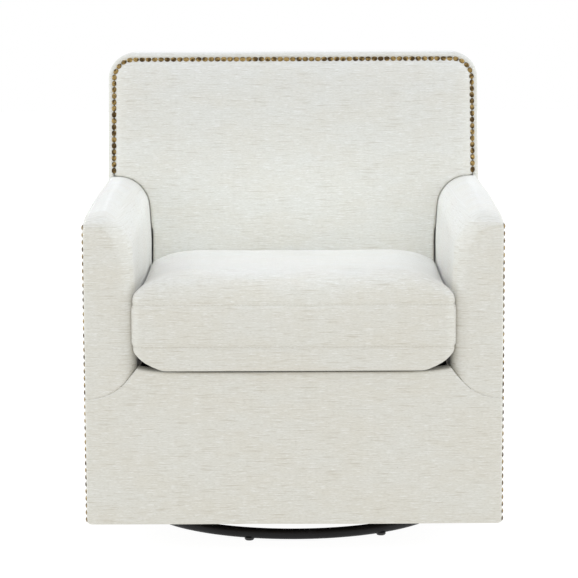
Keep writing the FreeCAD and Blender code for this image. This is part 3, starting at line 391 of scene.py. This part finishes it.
def aged_brass():
    """Antique brass nail heads, each a little lighter or darker than the next."""
    recipe = Recipe("nail_brass", (0.32, 0.22, 0.09), 0.34, 1.0)
    lot = recipe.noise(recipe.place, (95, 95, 95), 1, 0.5)
    stain = recipe.noise(recipe.place, (420, 420, 420), 3, 0.65)
    bronze, gold, tarnish = (0.075, 0.047, 0.02), (0.34, 0.23, 0.085), (0.08, 0.05, 0.025)
    metal = recipe.mixed(recipe.between(lot, 0.38, 0.62), bronze, gold)
    recipe.colour(recipe.mixed(recipe.between(stain, 0.5, 0.75, 0.0, 0.7), metal, tarnish))
    recipe.roughness(recipe.between(stain, 0.3, 0.7, 0.26, 0.48))
    recipe.bump(stain, 0.0002, 0.4)
    return recipe.material


def hardwood():
    """Bare hardwood with grain along the longest way of most rails."""
    recipe = Recipe("frame_wood", (0.55, 0.38, 0.22), 0.6)
    grain = recipe.noise(recipe.place, (14, 160, 160), 5, 0.65)
    pores = recipe.noise(recipe.place, (60, 700, 700), 2, 0.5)
    wood = recipe.mixed(recipe.between(grain, 0.3, 0.7), (0.60, 0.43, 0.26), (0.42, 0.27, 0.14))
    recipe.colour(recipe.mixed(recipe.between(pores, 0.55, 0.75, 0.0, 0.5), wood, (0.25, 0.15, 0.08)))
    recipe.bump(grain, 0.0005, 0.4)
    return recipe.material


def black_cloth():
    """Black woven deck cloth."""
    recipe = Recipe("deck_cloth", (0.012, 0.012, 0.012), 0.95)
    weft = recipe.noise(recipe.place, (90, 900, 900), 2, 0.5)
    warp = recipe.noise(recipe.place, (900, 90, 900), 2, 0.5)
    weave = recipe.math("MAXIMUM", weft, warp)
    hollow, raised = (0.008, 0.008, 0.008), (0.03, 0.03, 0.03)
    recipe.colour(recipe.mixed(recipe.between(weave, 0.45, 0.7), hollow, raised))
    recipe.bump(weave, 0.0005, 0.5)
    return recipe.material


def thread():
    """Twisted ivory sewing thread, a shade darker than the cloth."""
    recipe = Recipe("sewing_thread", (0.55, 0.52, 0.45), 0.8, Sheen_Weight=0.3)
    twist = recipe.noise(recipe.place, (1500, 1500, 1500), 1, 0.5)
    recipe.colour(recipe.mixed(twist, (0.47, 0.44, 0.37), (0.64, 0.62, 0.55)))
    recipe.bump(twist, 0.0002, 0.4)
    return recipe.material


FABRIC = ivory_fabric()
THREAD = thread()
SLOT_MATERIALS = {
    "black_ring": painted("black_ring", (0.004, 0.004, 0.0043), 0.5, 0.25),
    "glide_plastic": moulded("glide_plastic", (0.015, 0.015, 0.015), 0.5),
    "black_steel": painted("black_steel", (0.025, 0.025, 0.027), 0.45),
    "bright_steel": bare_metal("bright_steel", (0.62, 0.62, 0.64), 0.32, (300, 300, 30)),
    "bumper_rubber": moulded("bumper_rubber", (0.02, 0.02, 0.02), 0.8),
    "frame_wood": hardwood(),
    "spring_steel": bare_metal("spring_steel", (0.36, 0.35, 0.34), 0.4, (40, 400, 400)),
    "nail_brass": aged_brass(),
    "deck_cloth": black_cloth(),
    "foam": moulded("foam", (0.86, 0.84, 0.74), 0.95),
    "ivory_fabric": FABRIC,
}


def dress_frame():
    """Gives every carried-over sub-part the material of its slot."""
    for row in frame["record"]["subparts"]:
        node = frame["nodes"][row["node"]]
        material = SLOT_MATERIALS[row["material_slot"]]
        if not node.material_slots:
            node.data.materials.append(material)
        for slot in node.material_slots:
            slot.material = material


def covered(piece, body, *nodes, fill=0.9):
    """Finishes an upholstered piece: fabric, the body it rides on, what it stands for."""
    piece.data.materials.append(FABRIC)
    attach(piece, body)
    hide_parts(*nodes)
    return piece


# ---------------------------------------------------------------------------------------------
# Upholstery of the body
# ---------------------------------------------------------------------------------------------

NET_STEP = 0.004  # spacing of the grid that the inside and outside back are meshed on
PANEL_STEP = 0.003  # the same for the pieces with finer edges

PANEL_SWELL = 0.0035  # how much the middle of a front or side panel stands out past its edges
HEM = 0.005  # radius of the fabric's bottom edge
LIP = 0.050  # how far the front rail's cover runs back over the deck
RAIL_TOP = DECK + 0.0075  # the front rail's padding stands a little above the deck
RAIL_ROLL = 0.004  # radius of the front rail's top edge
RAIL_DIP = 0.007  # how far that edge is pressed down under the cushion
MITRE_DROP = 0.060  # how far the seam below an arm's front falls on its way out
MITRE_RUN = 0.048  # width over which it does most of that
MITRE_ROLL = 0.0006  # radius of the two edges sewn together there
ARM_ROLL = 0.031  # radius of the arms' inner front edges
ARM_TOP_ROLL = 0.056  # radius along the arms' inner top edges
ARM_OUTER_ROLL = 0.009  # radius along their outer top edges
ARM_CROWN = 0.013  # how far the arms' tops rise above their outer edges
ARM_CROWN_SPREAD = 0.036  # half width of that crown, and how far in from the outer edge it is
ARM_SPLAY = 0.0105  # how far the arms' inner faces lean outwards at their tops
ARM_SPLAY_DEEP = 0.13  # how far down they do
ARM_HOLLOW = 0.005  # how much thinner the arms' inner padding is at the back
NAIL_EDGE = 0.0018  # how far the fabric stands out round the arms' front edges, before the nails
SIDE_STOP = 0.024  # top of an arm to the top of its outside panel
BORDER_INNER = HALF_WIDE - 0.030  # half width of the hollow behind the back's padding
BORDER_DROP = 0.012  # how much further down the border goes than its CAD solid
BACK_PUFF = 0.008  # how far the inside back stands out just inside its nails
BACK_CROWN = 0.010  # how much further it does in its middle
BORDER_PUFF = 0.0025  # how far the border stands out round the nails


def mitre_line(x):
    """The height of the front rail's top edge, and of its seam with the arms' fronts."""
    out = np.clip(np.abs(x) - ARM_INNER, 0, None)
    dip = RAIL_DIP * (1 - np.exp(-np.clip(ARM_INNER - np.abs(x), 0, None) / 0.03))
    return RAIL_TOP - dip - MITRE_DROP * np.tanh(out / MITRE_RUN)


def front_plane(x, z):
    """The front face, pulled in a little towards its edges."""
    swell = PANEL_SWELL * dome((HALF_WIDE - np.abs(x)) / 0.05) * ramp(z, SKIRT, SKIRT + 0.05)
    return FRONT + 0.001 - swell


def arm_hollow(y):
    """How far along a depth is from the arms' front, where they are fullest, to the back."""
    return ramp(y, FRONT + 0.15, FACE_AT_ARM)


def arm_rise(u, y):
    """The height of an arm's top: the outer line, crowned, and held down at the front seam."""
    grown = dome((y - FRONT) / 0.060) * (1 - 0.95 * ramp(y, FRONT + 0.30, FACE_AT_ARM))
    crown = ARM_CROWN * np.exp(-(((u - (HALF_WIDE - ARM_CROWN_SPREAD)) / ARM_CROWN_SPREAD) ** 2))
    fuller = 0.004 * ramp(y, FRONT, FRONT + 0.06) * (1 - ramp(y, FRONT + 0.25, FACE_AT_ARM))
    return arm_line(y) + crown * grown + fuller - 0.003 * (1 - ramp(y, FRONT, FRONT + 0.02))


def nail_edge(y):
    """How far the fabric stands out past an arm's side at a depth near the front."""
    return NAIL_EDGE + (NAIL_SUNK - NAIL_EDGE) * ramp(y, FRONT + 0.001, FRONT + 0.006)


def arm_field(side):
    """An arm's top, inner and front padding as a field."""

    def field(x, y, z):
        u = x * side
        rise = arm_rise(u, y)
        taper = np.clip(1 - (rise - z) / ARM_SPLAY_DEEP, 0, 1) ** 1.3
        inner = ARM_INNER + 0.0015 + ARM_SPLAY * taper + ARM_HOLLOW * arm_hollow(y) - u
        outer = u - (SKIN + (HALF_WIDE - SKIN + NAIL_SUNK) * ramp(z, rise - 0.030, rise - 0.022))
        outer = np.where(y < FRONT + 0.008, u - HALF_WIDE - nail_edge(y), outer)
        top = z - rise
        shell = meet(meet(inner, top, ARM_TOP_ROLL), outer, ARM_OUTER_ROLL)
        soft = 0.005 + (ARM_ROLL - 0.005) * (1 - ramp(u, ARM_INNER + 0.025, ARM_INNER + 0.065))
        front = front_plane(x, z) - y
        shell = meet(shell, front, soft)
        low = np.where(y < FRONT + 0.0185, mitre_line(u), DECK - 0.03)
        shell = meet(shell, low - z, MITRE_ROLL)
        rear = y - back_face(z) - 0.006
        return meet(shell, rear, 0.002) + 0.0006 * ripple(x, y, z, 0.035, side + 5)

    return field


def make_arm(name, side):
    low = (ARM_INNER - 0.004, FRONT - 0.006, ARM_FRONT_LOW.z)
    high = (HALF_WIDE + 0.002, FACE_AT_ARM + 0.01, ARM_REAR_TOP + 0.014)
    ends = sorted((side * low[0], side * high[0]))
    arm = padding(
        f"arm_{name}_upholstery",
        arm_field(side),
        (ends[0], *low[1:]),
        (ends[1], *high[1:]),
        PANEL_STEP,
    )
    covered(arm, "chair", f"arm_pad_{name}", f"arm_front_{name}")
    make_arm_seam(name, side, arm)


def tube(name, path, normals, radii, sides=8):
    """A closed thin tube along a path, with a radius at each point."""
    points, faces = [], []
    for number, (spot, normal, radius) in enumerate(zip(path, normals, radii)):
        ahead = path[min(number + 1, len(path) - 1)] - path[max(number - 1, 0)]
        across = ahead.cross(normal).normalized()
        for k in range(sides):
            turn = math.tau * k / sides
            points.append(spot + (across * math.cos(turn) + normal * math.sin(turn)) * radius)
    for ring in range(len(path) - 1):
        low, high = ring * sides, (ring + 1) * sides
        for k in range(sides):
            faces.append((low + k, low + (k + 1) % sides, high + (k + 1) % sides, high + k))
    faces.append(tuple(reversed(range(sides))))
    faces.append(tuple(range((len(path) - 1) * sides, len(path) * sides)))
    return mesh_object(name, points, faces)


def make_arm_seam(name, side, arm):
    """The sewn edge between an arm's front and its top, which fades at the inner corner."""
    path, normals, radii = [], [], []
    count = 90
    for number in range(count + 1):
        u = HALF_WIDE - 0.004 - 0.075 * number / count
        across = max(0.0, ARM_INNER + 0.050 - u)
        z = ARM_FRONT_TOP - 0.0065 - (ARM_TOP_ROLL - math.sqrt(ARM_TOP_ROLL**2 - across**2))
        hit, spot, normal, _ = arm.ray_cast(Vector((side * u, FRONT - 0.05, z)), Vector((0, 1, 0)))
        if hit:
            path.append(spot - normal * 0.0002)
            normals.append(normal)
            radii.append(0.0009 * (1 - (number / count) ** 3) + 0.0001)
    seam = tube(f"arm_{name}_front_seam", path, normals, radii)
    seam.data.materials.append(FABRIC)
    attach(seam, "chair")


def side_field(side):
    """An arm's outside panel as a field."""

    def field(x, y, z):
        u = x * side
        step_up = ramp(y, FACE_AT_ARM - 0.022, FACE_AT_ARM + 0.002)
        top_line = arm_line(np.minimum(y, FACE_AT_ARM)) - SIDE_STOP * (1 - step_up)
        edge = np.minimum(np.minimum(top_line - z, z - SKIRT), y - FRONT)
        swell = PANEL_SWELL * ramp(edge, 0.012, 0.11)
        outer = u - HALF_WIDE - NAIL_SUNK - swell
        shell = meet(outer, z - top_line, 0.003)
        shell = meet(shell, SKIRT - z, HEM)
        shell = meet(shell, FRONT + 0.0085 - y, 0.003)
        shell = meet(shell, y - rear_face(z) + COVER, 0.003)
        return np.maximum(shell, SKIN + 0.0005 - u) + 0.0004 * ripple(x, y, z, 0.06, side + 8)

    return field


def make_side(name, side):
    low = (SKIN - 0.002, FRONT, SKIRT - 0.002)
    high = (HALF_WIDE + 0.004, rear_face(ARM_REAR_TOP), ARM_REAR_TOP)
    ends = sorted((side * low[0], side * high[0]))
    panel = padding(
        f"arm_{name}_outside",
        side_field(side),
        (ends[0], *low[1:]),
        (ends[1], *high[1:]),
        PANEL_STEP,
    )
    covered(panel, "chair", f"arm_side_{name}")


def rail_field(x, y, z):
    top = z - mitre_line(x)
    sewn = ramp(np.abs(x), ARM_INNER - 0.004, ARM_INNER + 0.002)
    seam = RAIL_ROLL + (MITRE_ROLL - RAIL_ROLL) * sewn
    front = front_plane(x, z) - y
    flip = 2 * SKIRT + 0.2  # turns the outline upside down, so that its round corners are the hem's
    corner = inside_outline(x, flip - z, HALF_WIDE + nail_edge(y), SKIRT + 0.2, 0.010)
    closed = ramp(np.abs(x), ARM_INNER + 0.020, ARM_INNER + 0.050)
    shell = meet(front, top - 0.0003 * sewn - 0.0012 * closed, seam)
    shell = meet(shell, -corner, HEM)
    shell = np.maximum(shell, y - FRONT - 0.018)
    lip = meet(top, y - FRONT - LIP, 0.007)
    lip = np.maximum(lip, np.maximum(np.abs(x) - ARM_INNER - 0.004, FRONT + 0.012 - y))
    lip = np.maximum(lip, DECK - 0.012 - z)
    return np.minimum(shell, lip) + 0.0004 * ripple(x, y, z, 0.06, 2)


def make_front_rail():
    rail = padding(
        "front_rail_upholstery",
        rail_field,
        (-HALF_WIDE, FRONT - 0.006, SKIRT),
        (HALF_WIDE, FRONT + LIP, RAIL_TOP),
        PANEL_STEP,
    )
    covered(rail, "chair", "front_panel")


def nail_distance(x, z):
    """How far a point is inside the back's nail line."""
    return inside_outline(x, z, HALF_WIDE - NAIL_SIDE, BACK_TOP - NAIL_TOP, NAIL_CORNER)


def back_surface(x, z):
    """The face of the padded back: puffed inside the nail line, and in the border outside it."""
    inward = nail_distance(x, z)
    past = np.maximum(inward - NAIL_HEAD + 0.001, 0)
    panel = BACK_PUFF * dome(past / 0.030) + BACK_CROWN * (1 - np.exp(-past / 0.12))
    border = BORDER_PUFF * dome((-inward - NAIL_HEAD + 0.002) / 0.006)
    return back_face(z) - np.where(inward > 0, panel, border)


def inside_back_field(x, y, z):
    inward = nail_distance(x, z)
    narrow = ARM_INNER + 0.006
    wide = narrow + (HALF_WIDE - NAIL_SIDE + 0.002 - narrow) * ramp(z, 0.535, 0.56)
    front = back_surface(x, z) - y
    shell = meet(front, -inward, 0.0015)
    shell = np.maximum(shell, np.abs(x) - wide)
    crease = 0.003 + 0.006 * (1 - ramp(z, 0.50, 0.62))
    for side in (-1, 1):
        shell = meet(shell, 0.0003 - arm_field(side)(x, y, z), crease)
    shell = meet(shell, INSIDE_LOW.z - z, 0.010)
    return np.maximum(shell, y - back_face(z) - BACK_PAD + 0.004) + 0.0007 * ripple(x, y, z, 0.07, 4)


def make_inside_back():
    back = padding(
        "inside_back_upholstery",
        inside_back_field,
        (INSIDE_LOW.x, INSIDE_LOW.y - 0.022, INSIDE_LOW.z),
        (INSIDE_HIGH.x, INSIDE_HIGH.y, INSIDE_HIGH.z),
        NET_STEP,
    )
    covered(back, "chair", "inside_back")


def border_field(x, y, z):
    inward = nail_distance(x, z)
    outward = inside_outline(x, z, HALF_WIDE + 0.0015, BACK_TOP - 0.0005, CORNER)
    front = back_surface(x, z) - y
    rear = y - rear_face(z) + COVER + 0.0005
    shell = meet(front, -outward, 0.0075)
    shell = meet(shell, rear, 0.004)
    shell = meet(shell, inward + 0.0004, 0.0015)
    behind = y - back_face(z) - BACK_PAD
    deeper = outward - (HALF_WIDE - BORDER_INNER)
    shell = np.where(behind > 0, meet(meet(-outward, rear, 0.004), deeper, 0.002), shell)
    return meet(shell, BORDER_LOW.z - BORDER_DROP - z, 0.003) + 0.0004 * ripple(x, y, z, 0.05, 6)


def make_border():
    border = padding(
        "back_border_upholstery",
        border_field,
        (BORDER_LOW.x, BORDER_LOW.y - 0.012, BORDER_LOW.z - BORDER_DROP),
        (BORDER_HIGH.x, BORDER_HIGH.y, BORDER_HIGH.z),
        PANEL_STEP,
    )
    covered(border, "chair", "back_border")


def outside_back_field(x, y, z):
    outward = inside_outline(x, z, HALF_WIDE - 0.001, BACK_TOP - 0.001, CORNER)
    edge = np.minimum(outward, z - SKIRT)
    rear = y - rear_face(z) + 0.002 - 0.004 * dome(edge / 0.07)
    shell = meet(rear, -outward, 0.004)
    shell = meet(shell, SKIRT - z, HEM)
    return np.maximum(shell, rear_face(z) - COVER - y) + 0.0004 * ripple(x, y, z, 0.08, 7)


def make_outside_back():
    back = padding(
        "outside_back_upholstery",
        outside_back_field,
        (REAR_LOW.x, REAR_LOW.y - 0.002, REAR_LOW.z),
        (REAR_HIGH.x, REAR_HIGH.y + 0.004, REAR_HIGH.z),
        NET_STEP,
    )
    covered(back, "chair", "outside_back")


# ---------------------------------------------------------------------------------------------
# Seat cushion
# ---------------------------------------------------------------------------------------------

CUSHION_STEP = 0.006  # spacing of the grid that the cushion is meshed on
SEAM_LOW = CUSHION_LOW.z + 0.047  # heights of the two seams round the cushion
SEAM_HIGH = CUSHION_HIGH.z - 0.049
CUSHION_HALF = CUSHION_HIGH.x
CUSHION_FRONT = CUSHION_LOW.y - 0.0035
CUSHION_REAR = back_face((SEAM_LOW + SEAM_HIGH) / 2) - 0.020
CUSHION_CORNER = 0.020  # radius of its upright corners
CROWN_REAR = 0.0285  # how far its top rises past its sides, at the back
CROWN_MORE = 0.0185  # how much more it does at the front
RAIL_PRESS = 0.0025  # how far the front rail pushes its underside up


def cushion_half(y):
    """Half the cushion's width at a depth: it presses against the arms, and spreads past them."""
    spread = 0.0095 * ramp(-y, -FRONT - 0.050, -FRONT + 0.002)
    return CUSHION_HALF + 0.003 + spread + ARM_HOLLOW * arm_hollow(y)


def cushion_inward(x, y):
    """How far a point is inside the cushion's boxing, seen from above."""
    across = np.abs(x) - cushion_half(y) + CUSHION_CORNER
    middle, half_deep = (CUSHION_FRONT + CUSHION_REAR) / 2, (CUSHION_REAR - CUSHION_FRONT) / 2
    along = np.abs(y - middle) - half_deep + CUSHION_CORNER
    reach = np.hypot(np.maximum(across, 0), np.maximum(along, 0))
    return CUSHION_CORNER - reach - np.minimum(np.maximum(across, along), 0)


def cushion_top(x, y):
    """The height of the cushion's top: full at the front, and rounded down to its other seams."""
    from_side, from_front = cushion_half(y) - np.abs(x), y - CUSHION_FRONT
    crown = CROWN_REAR + CROWN_MORE * (1 - ramp(from_front, 0.02, 0.42))
    across = 0.010 * dome(from_side / 0.006) + crown * dome(from_side / 0.100, 1.8)
    ends = dome(from_front / 0.048, 3) * dome((CUSHION_REAR - y) / 0.075)
    return SEAM_HIGH + across * ends


def cushion_under(x, y, depth):
    """The height of the cushion's underside: it stands a little higher where the front rail is."""
    from_side = cushion_half(y) - np.abs(x)
    turned = dome(depth / 0.004, 4) * dome(from_side / 0.075, 1.6)
    flat = SEAM_LOW - (SEAM_LOW - CUSHION_LOW.z) * turned
    over_rail = 1 - ramp(y, FRONT + LIP, FRONT + LIP + 0.03)
    return np.maximum(flat, CUSHION_LOW.z + RAIL_PRESS * over_rail)


def cushion_field(x, y, z):
    inward = cushion_inward(x, y)
    middle = (SEAM_LOW + SEAM_HIGH) / 2
    bulge = 0.0015 * np.clip(1 - ((z - middle) / (middle - SEAM_LOW)) ** 6, 0, 1)
    side = -inward - bulge
    under = cushion_under(x, y, np.maximum(inward, 0))
    return np.maximum(np.maximum(side, z - cushion_top(x, y)), under - z)


def puff(piece, cap, steps=20):
    """Blows a cushion up with a cloth simulation, moving no point further than cap.

    It mostly rises: its sides stay against the arms, and its underside stays on the seat.
    """
    before = np.array([v.co for v in piece.data.vertices])
    cloth = piece.modifiers.new("Puff", "CLOTH")
    cloth.settings.quality = 6
    cloth.settings.mass = 0.25
    cloth.settings.tension_stiffness = 22
    cloth.settings.compression_stiffness = 22
    cloth.settings.bending_stiffness = 0.6
    cloth.settings.use_pressure = True
    cloth.settings.uniform_pressure_force = 4
    cloth.settings.effector_weights.gravity = 0
    cloth.point_cache.frame_start, cloth.point_cache.frame_end = 1, steps
    scene = bpy.context.scene
    for number in range(1, steps + 1):
        scene.frame_set(number)
    result = piece.evaluated_get(bpy.context.evaluated_depsgraph_get()).to_mesh()
    after = np.array([v.co for v in result.vertices])
    piece.modifiers.remove(cloth)
    scene.frame_set(1)
    move = after - before
    length = np.linalg.norm(move, axis=1, keepdims=True)
    move *= cap * np.tanh(length / cap) / np.maximum(length, 1e-9)
    move *= ramp(before[:, 2:], SEAM_LOW, SEAM_LOW + 0.03) * np.array((0.1, 0.2, 1.0))
    piece.data.vertices.foreach_set("co", (before + move).ravel())
    piece.data.update()


def subdivide(piece):
    """Splits each face of a piece into four and smooths it."""
    modifier = piece.modifiers.new("Smooth", "SUBSURF")
    modifier.levels = modifier.render_levels = 1
    dg = bpy.context.evaluated_depsgraph_get()
    smooth = bpy.data.meshes.new_from_object(piece.evaluated_get(dg))
    piece.modifiers.remove(modifier)
    piece.data = smooth
    smooth.polygons.foreach_set("use_smooth", [True] * len(smooth.polygons))


def groove(piece, heights, depth, width):
    """Presses a sewn line into a piece at each of some heights."""
    mesh = piece.data
    points = np.empty(len(mesh.vertices) * 3)
    mesh.vertices.foreach_get("co", points)
    points = points.reshape(-1, 3)
    normals = np.array([v.normal for v in mesh.vertices])
    for height in heights:
        near = np.exp(-(((points[:, 2] - height) / width) ** 2))
        steep = np.clip(1 - np.abs(normals[:, 2]), 0, 1)
        points -= normals * (depth * near * steep)[:, None]
    mesh.vertices.foreach_set("co", points.ravel())
    mesh.update()


def stitch_ring(name, piece, height, pitch=0.0062, length=0.0036, radius=0.00045):
    """Short stitches all round a piece at a height, lying in its seam."""
    middle = Vector((0, (CUSHION_LOW.y + CUSHION_HIGH.y) / 2, height))
    samples = []
    rays = 1440
    for number in range(rays):
        angle = math.tau * number / rays
        ray = Vector((math.cos(angle), math.sin(angle), 0))
        hit, spot, normal, _ = piece.ray_cast(middle + ray, -ray)
        if hit:
            samples.append((spot, normal))
    points, faces = [], []
    travelled, due = 0.0, 0.0
    sides = 6
    profile = ((-0.5, 0.35), (-0.3, 0.9), (0, 1), (0.3, 0.9), (0.5, 0.35))  # place along, girth
    for (a, normal), (b, _) in zip(samples, samples[1:] + samples[:1]):
        travelled += (b - a).length
        if travelled < due or (b - a).length < 1e-6:
            continue
        due += pitch
        along = (b - a).normalized()
        across = along.cross(normal).normalized()
        out = across.cross(along)
        first = len(points)
        for share, size in profile:
            centre = a + along * (length * share) + normal * (radius * (0.9 * size - 0.4))
            for k in range(sides):
                turn = math.tau * k / sides
                points.append(centre + (across * math.cos(turn) + out * math.sin(turn)) * radius * size)
        last = first + (len(profile) - 1) * sides
        for low in range(first, last, sides):
            high = low + sides
            for k in range(sides):
                faces.append((low + k, low + (k + 1) % sides, high + (k + 1) % sides, high + k))
        faces.append([first + k for k in reversed(range(sides))])
        faces.append([last + k for k in range(sides)])
    stitches = mesh_object(name, points, faces)
    stitches.data.materials.append(THREAD)
    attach(stitches, "seat_cushion")


def make_cushion():
    cushion = padding(
        "seat_cushion_cover",
        cushion_field,
        (-CUSHION_HALF - 0.018, CUSHION_LOW.y - 0.014, CUSHION_LOW.z),
        (CUSHION_HALF + 0.018, CUSHION_HIGH.y, CUSHION_HIGH.z + 0.012),
        CUSHION_STEP,
    )
    puff(cushion, cap=0.004)
    subdivide(cushion)
    groove(cushion, (SEAM_LOW, SEAM_HIGH), depth=0.0016, width=0.0035)
    covered(cushion, "seat_cushion", "cushion_cover", "cushion_foam", fill=0.85)
    stitch_ring("seat_stitches_upper", cushion, SEAM_HIGH)
    stitch_ring("seat_stitches_lower", cushion, SEAM_LOW)


# ---------------------------------------------------------------------------------------------
# Floor, light and camera
# ---------------------------------------------------------------------------------------------


def make_floor():
    half = 14.0
    corners = [(-half, -half, 0), (half, -half, 0), (half, half, 0), (-half, half, 0)]
    floor = mesh_object("studio_floor", corners, [(0, 1, 2, 3)])
    recipe = Recipe("studio_floor", (0.10, 0.10, 0.10), 0.8)
    recipe.shader.inputs["Emission Color"].default_value = (1, 1, 1, 1)
    recipe.shader.inputs["Emission Strength"].default_value = 0.96
    floor.data.materials.append(recipe.material)


def soft_box(name, place, aim, size, power, colour=(1, 1, 1), spread=180):
    light = bpy.data.lights.new(name, "AREA")
    light.spread = math.radians(spread)
    light.color = colour
    light.shape = "RECTANGLE"
    light.size, light.size_y = size
    light.energy = power
    thing = bpy.data.objects.new(name, light)
    thing.location = place
    thing.rotation_mode = "QUATERNION"
    thing.rotation_quaternion = (Vector(aim) - Vector(place)).to_track_quat("-Z", "Y")
    bpy.context.scene.collection.objects.link(thing)


def make_light():
    world = bpy.data.worlds.new("studio")
    world.use_nodes = True
    background = world.node_tree.nodes["Background"]
    background.inputs["Color"].default_value = (1, 1, 1, 1)
    background.inputs["Strength"].default_value = 1.0
    bpy.context.scene.world = world
    seat = (0, 0, 0.5)
    cool = (0.80, 0.89, 1.0)
    soft_box("overhead", (0, -0.5, 3.0), seat, (2.4, 2.0), 16, (0.43, 0.58, 1.0))
    soft_box("side_left", (-5.0, -0.5, 1.6), seat, (2.0, 1.4), 85, cool)
    soft_box("side_right", (5.0, -0.5, 1.6), seat, (2.0, 1.4), 85, cool)
    fill = (0.86, 0.93, 1.0)
    soft_box("fill_left", (-1.5, -2.2, 2.0), (0.22, 0.10, 0.50), (0.35, 0.15), 0.23, fill, 12)
    soft_box("fill_right", (1.5, -2.2, 2.0), (-0.22, 0.10, 0.50), (0.35, 0.15), 0.23, fill, 12)


def make_camera():
    camera = bpy.data.cameras.new("camera")
    camera.sensor_width = 36
    camera.lens = 150.02
    camera.clip_start, camera.clip_end = 0.1, 60
    thing = bpy.data.objects.new("camera", camera)
    down, yaw, roll = math.radians(7.44), math.radians(0.15), math.radians(-0.24)
    turn = Euler((math.pi / 2 - down, 0, yaw)).to_matrix() @ Matrix.Rotation(roll, 3, "Z")
    thing.matrix_world = Matrix.Translation((0.0032, -4.712, 1.0548)) @ turn.to_4x4()
    bpy.context.scene.collection.objects.link(thing)
    bpy.context.scene.camera = thing
    bpy.context.scene.view_settings.view_transform = "Standard"


dress_frame()
for name, side in (("left", -1), ("right", 1)):
    make_arm(name, side)
    make_side(name, side)
make_front_rail()
make_inside_back()
make_border()
make_outside_back()
make_cushion()
make_floor()
make_light()
make_camera()
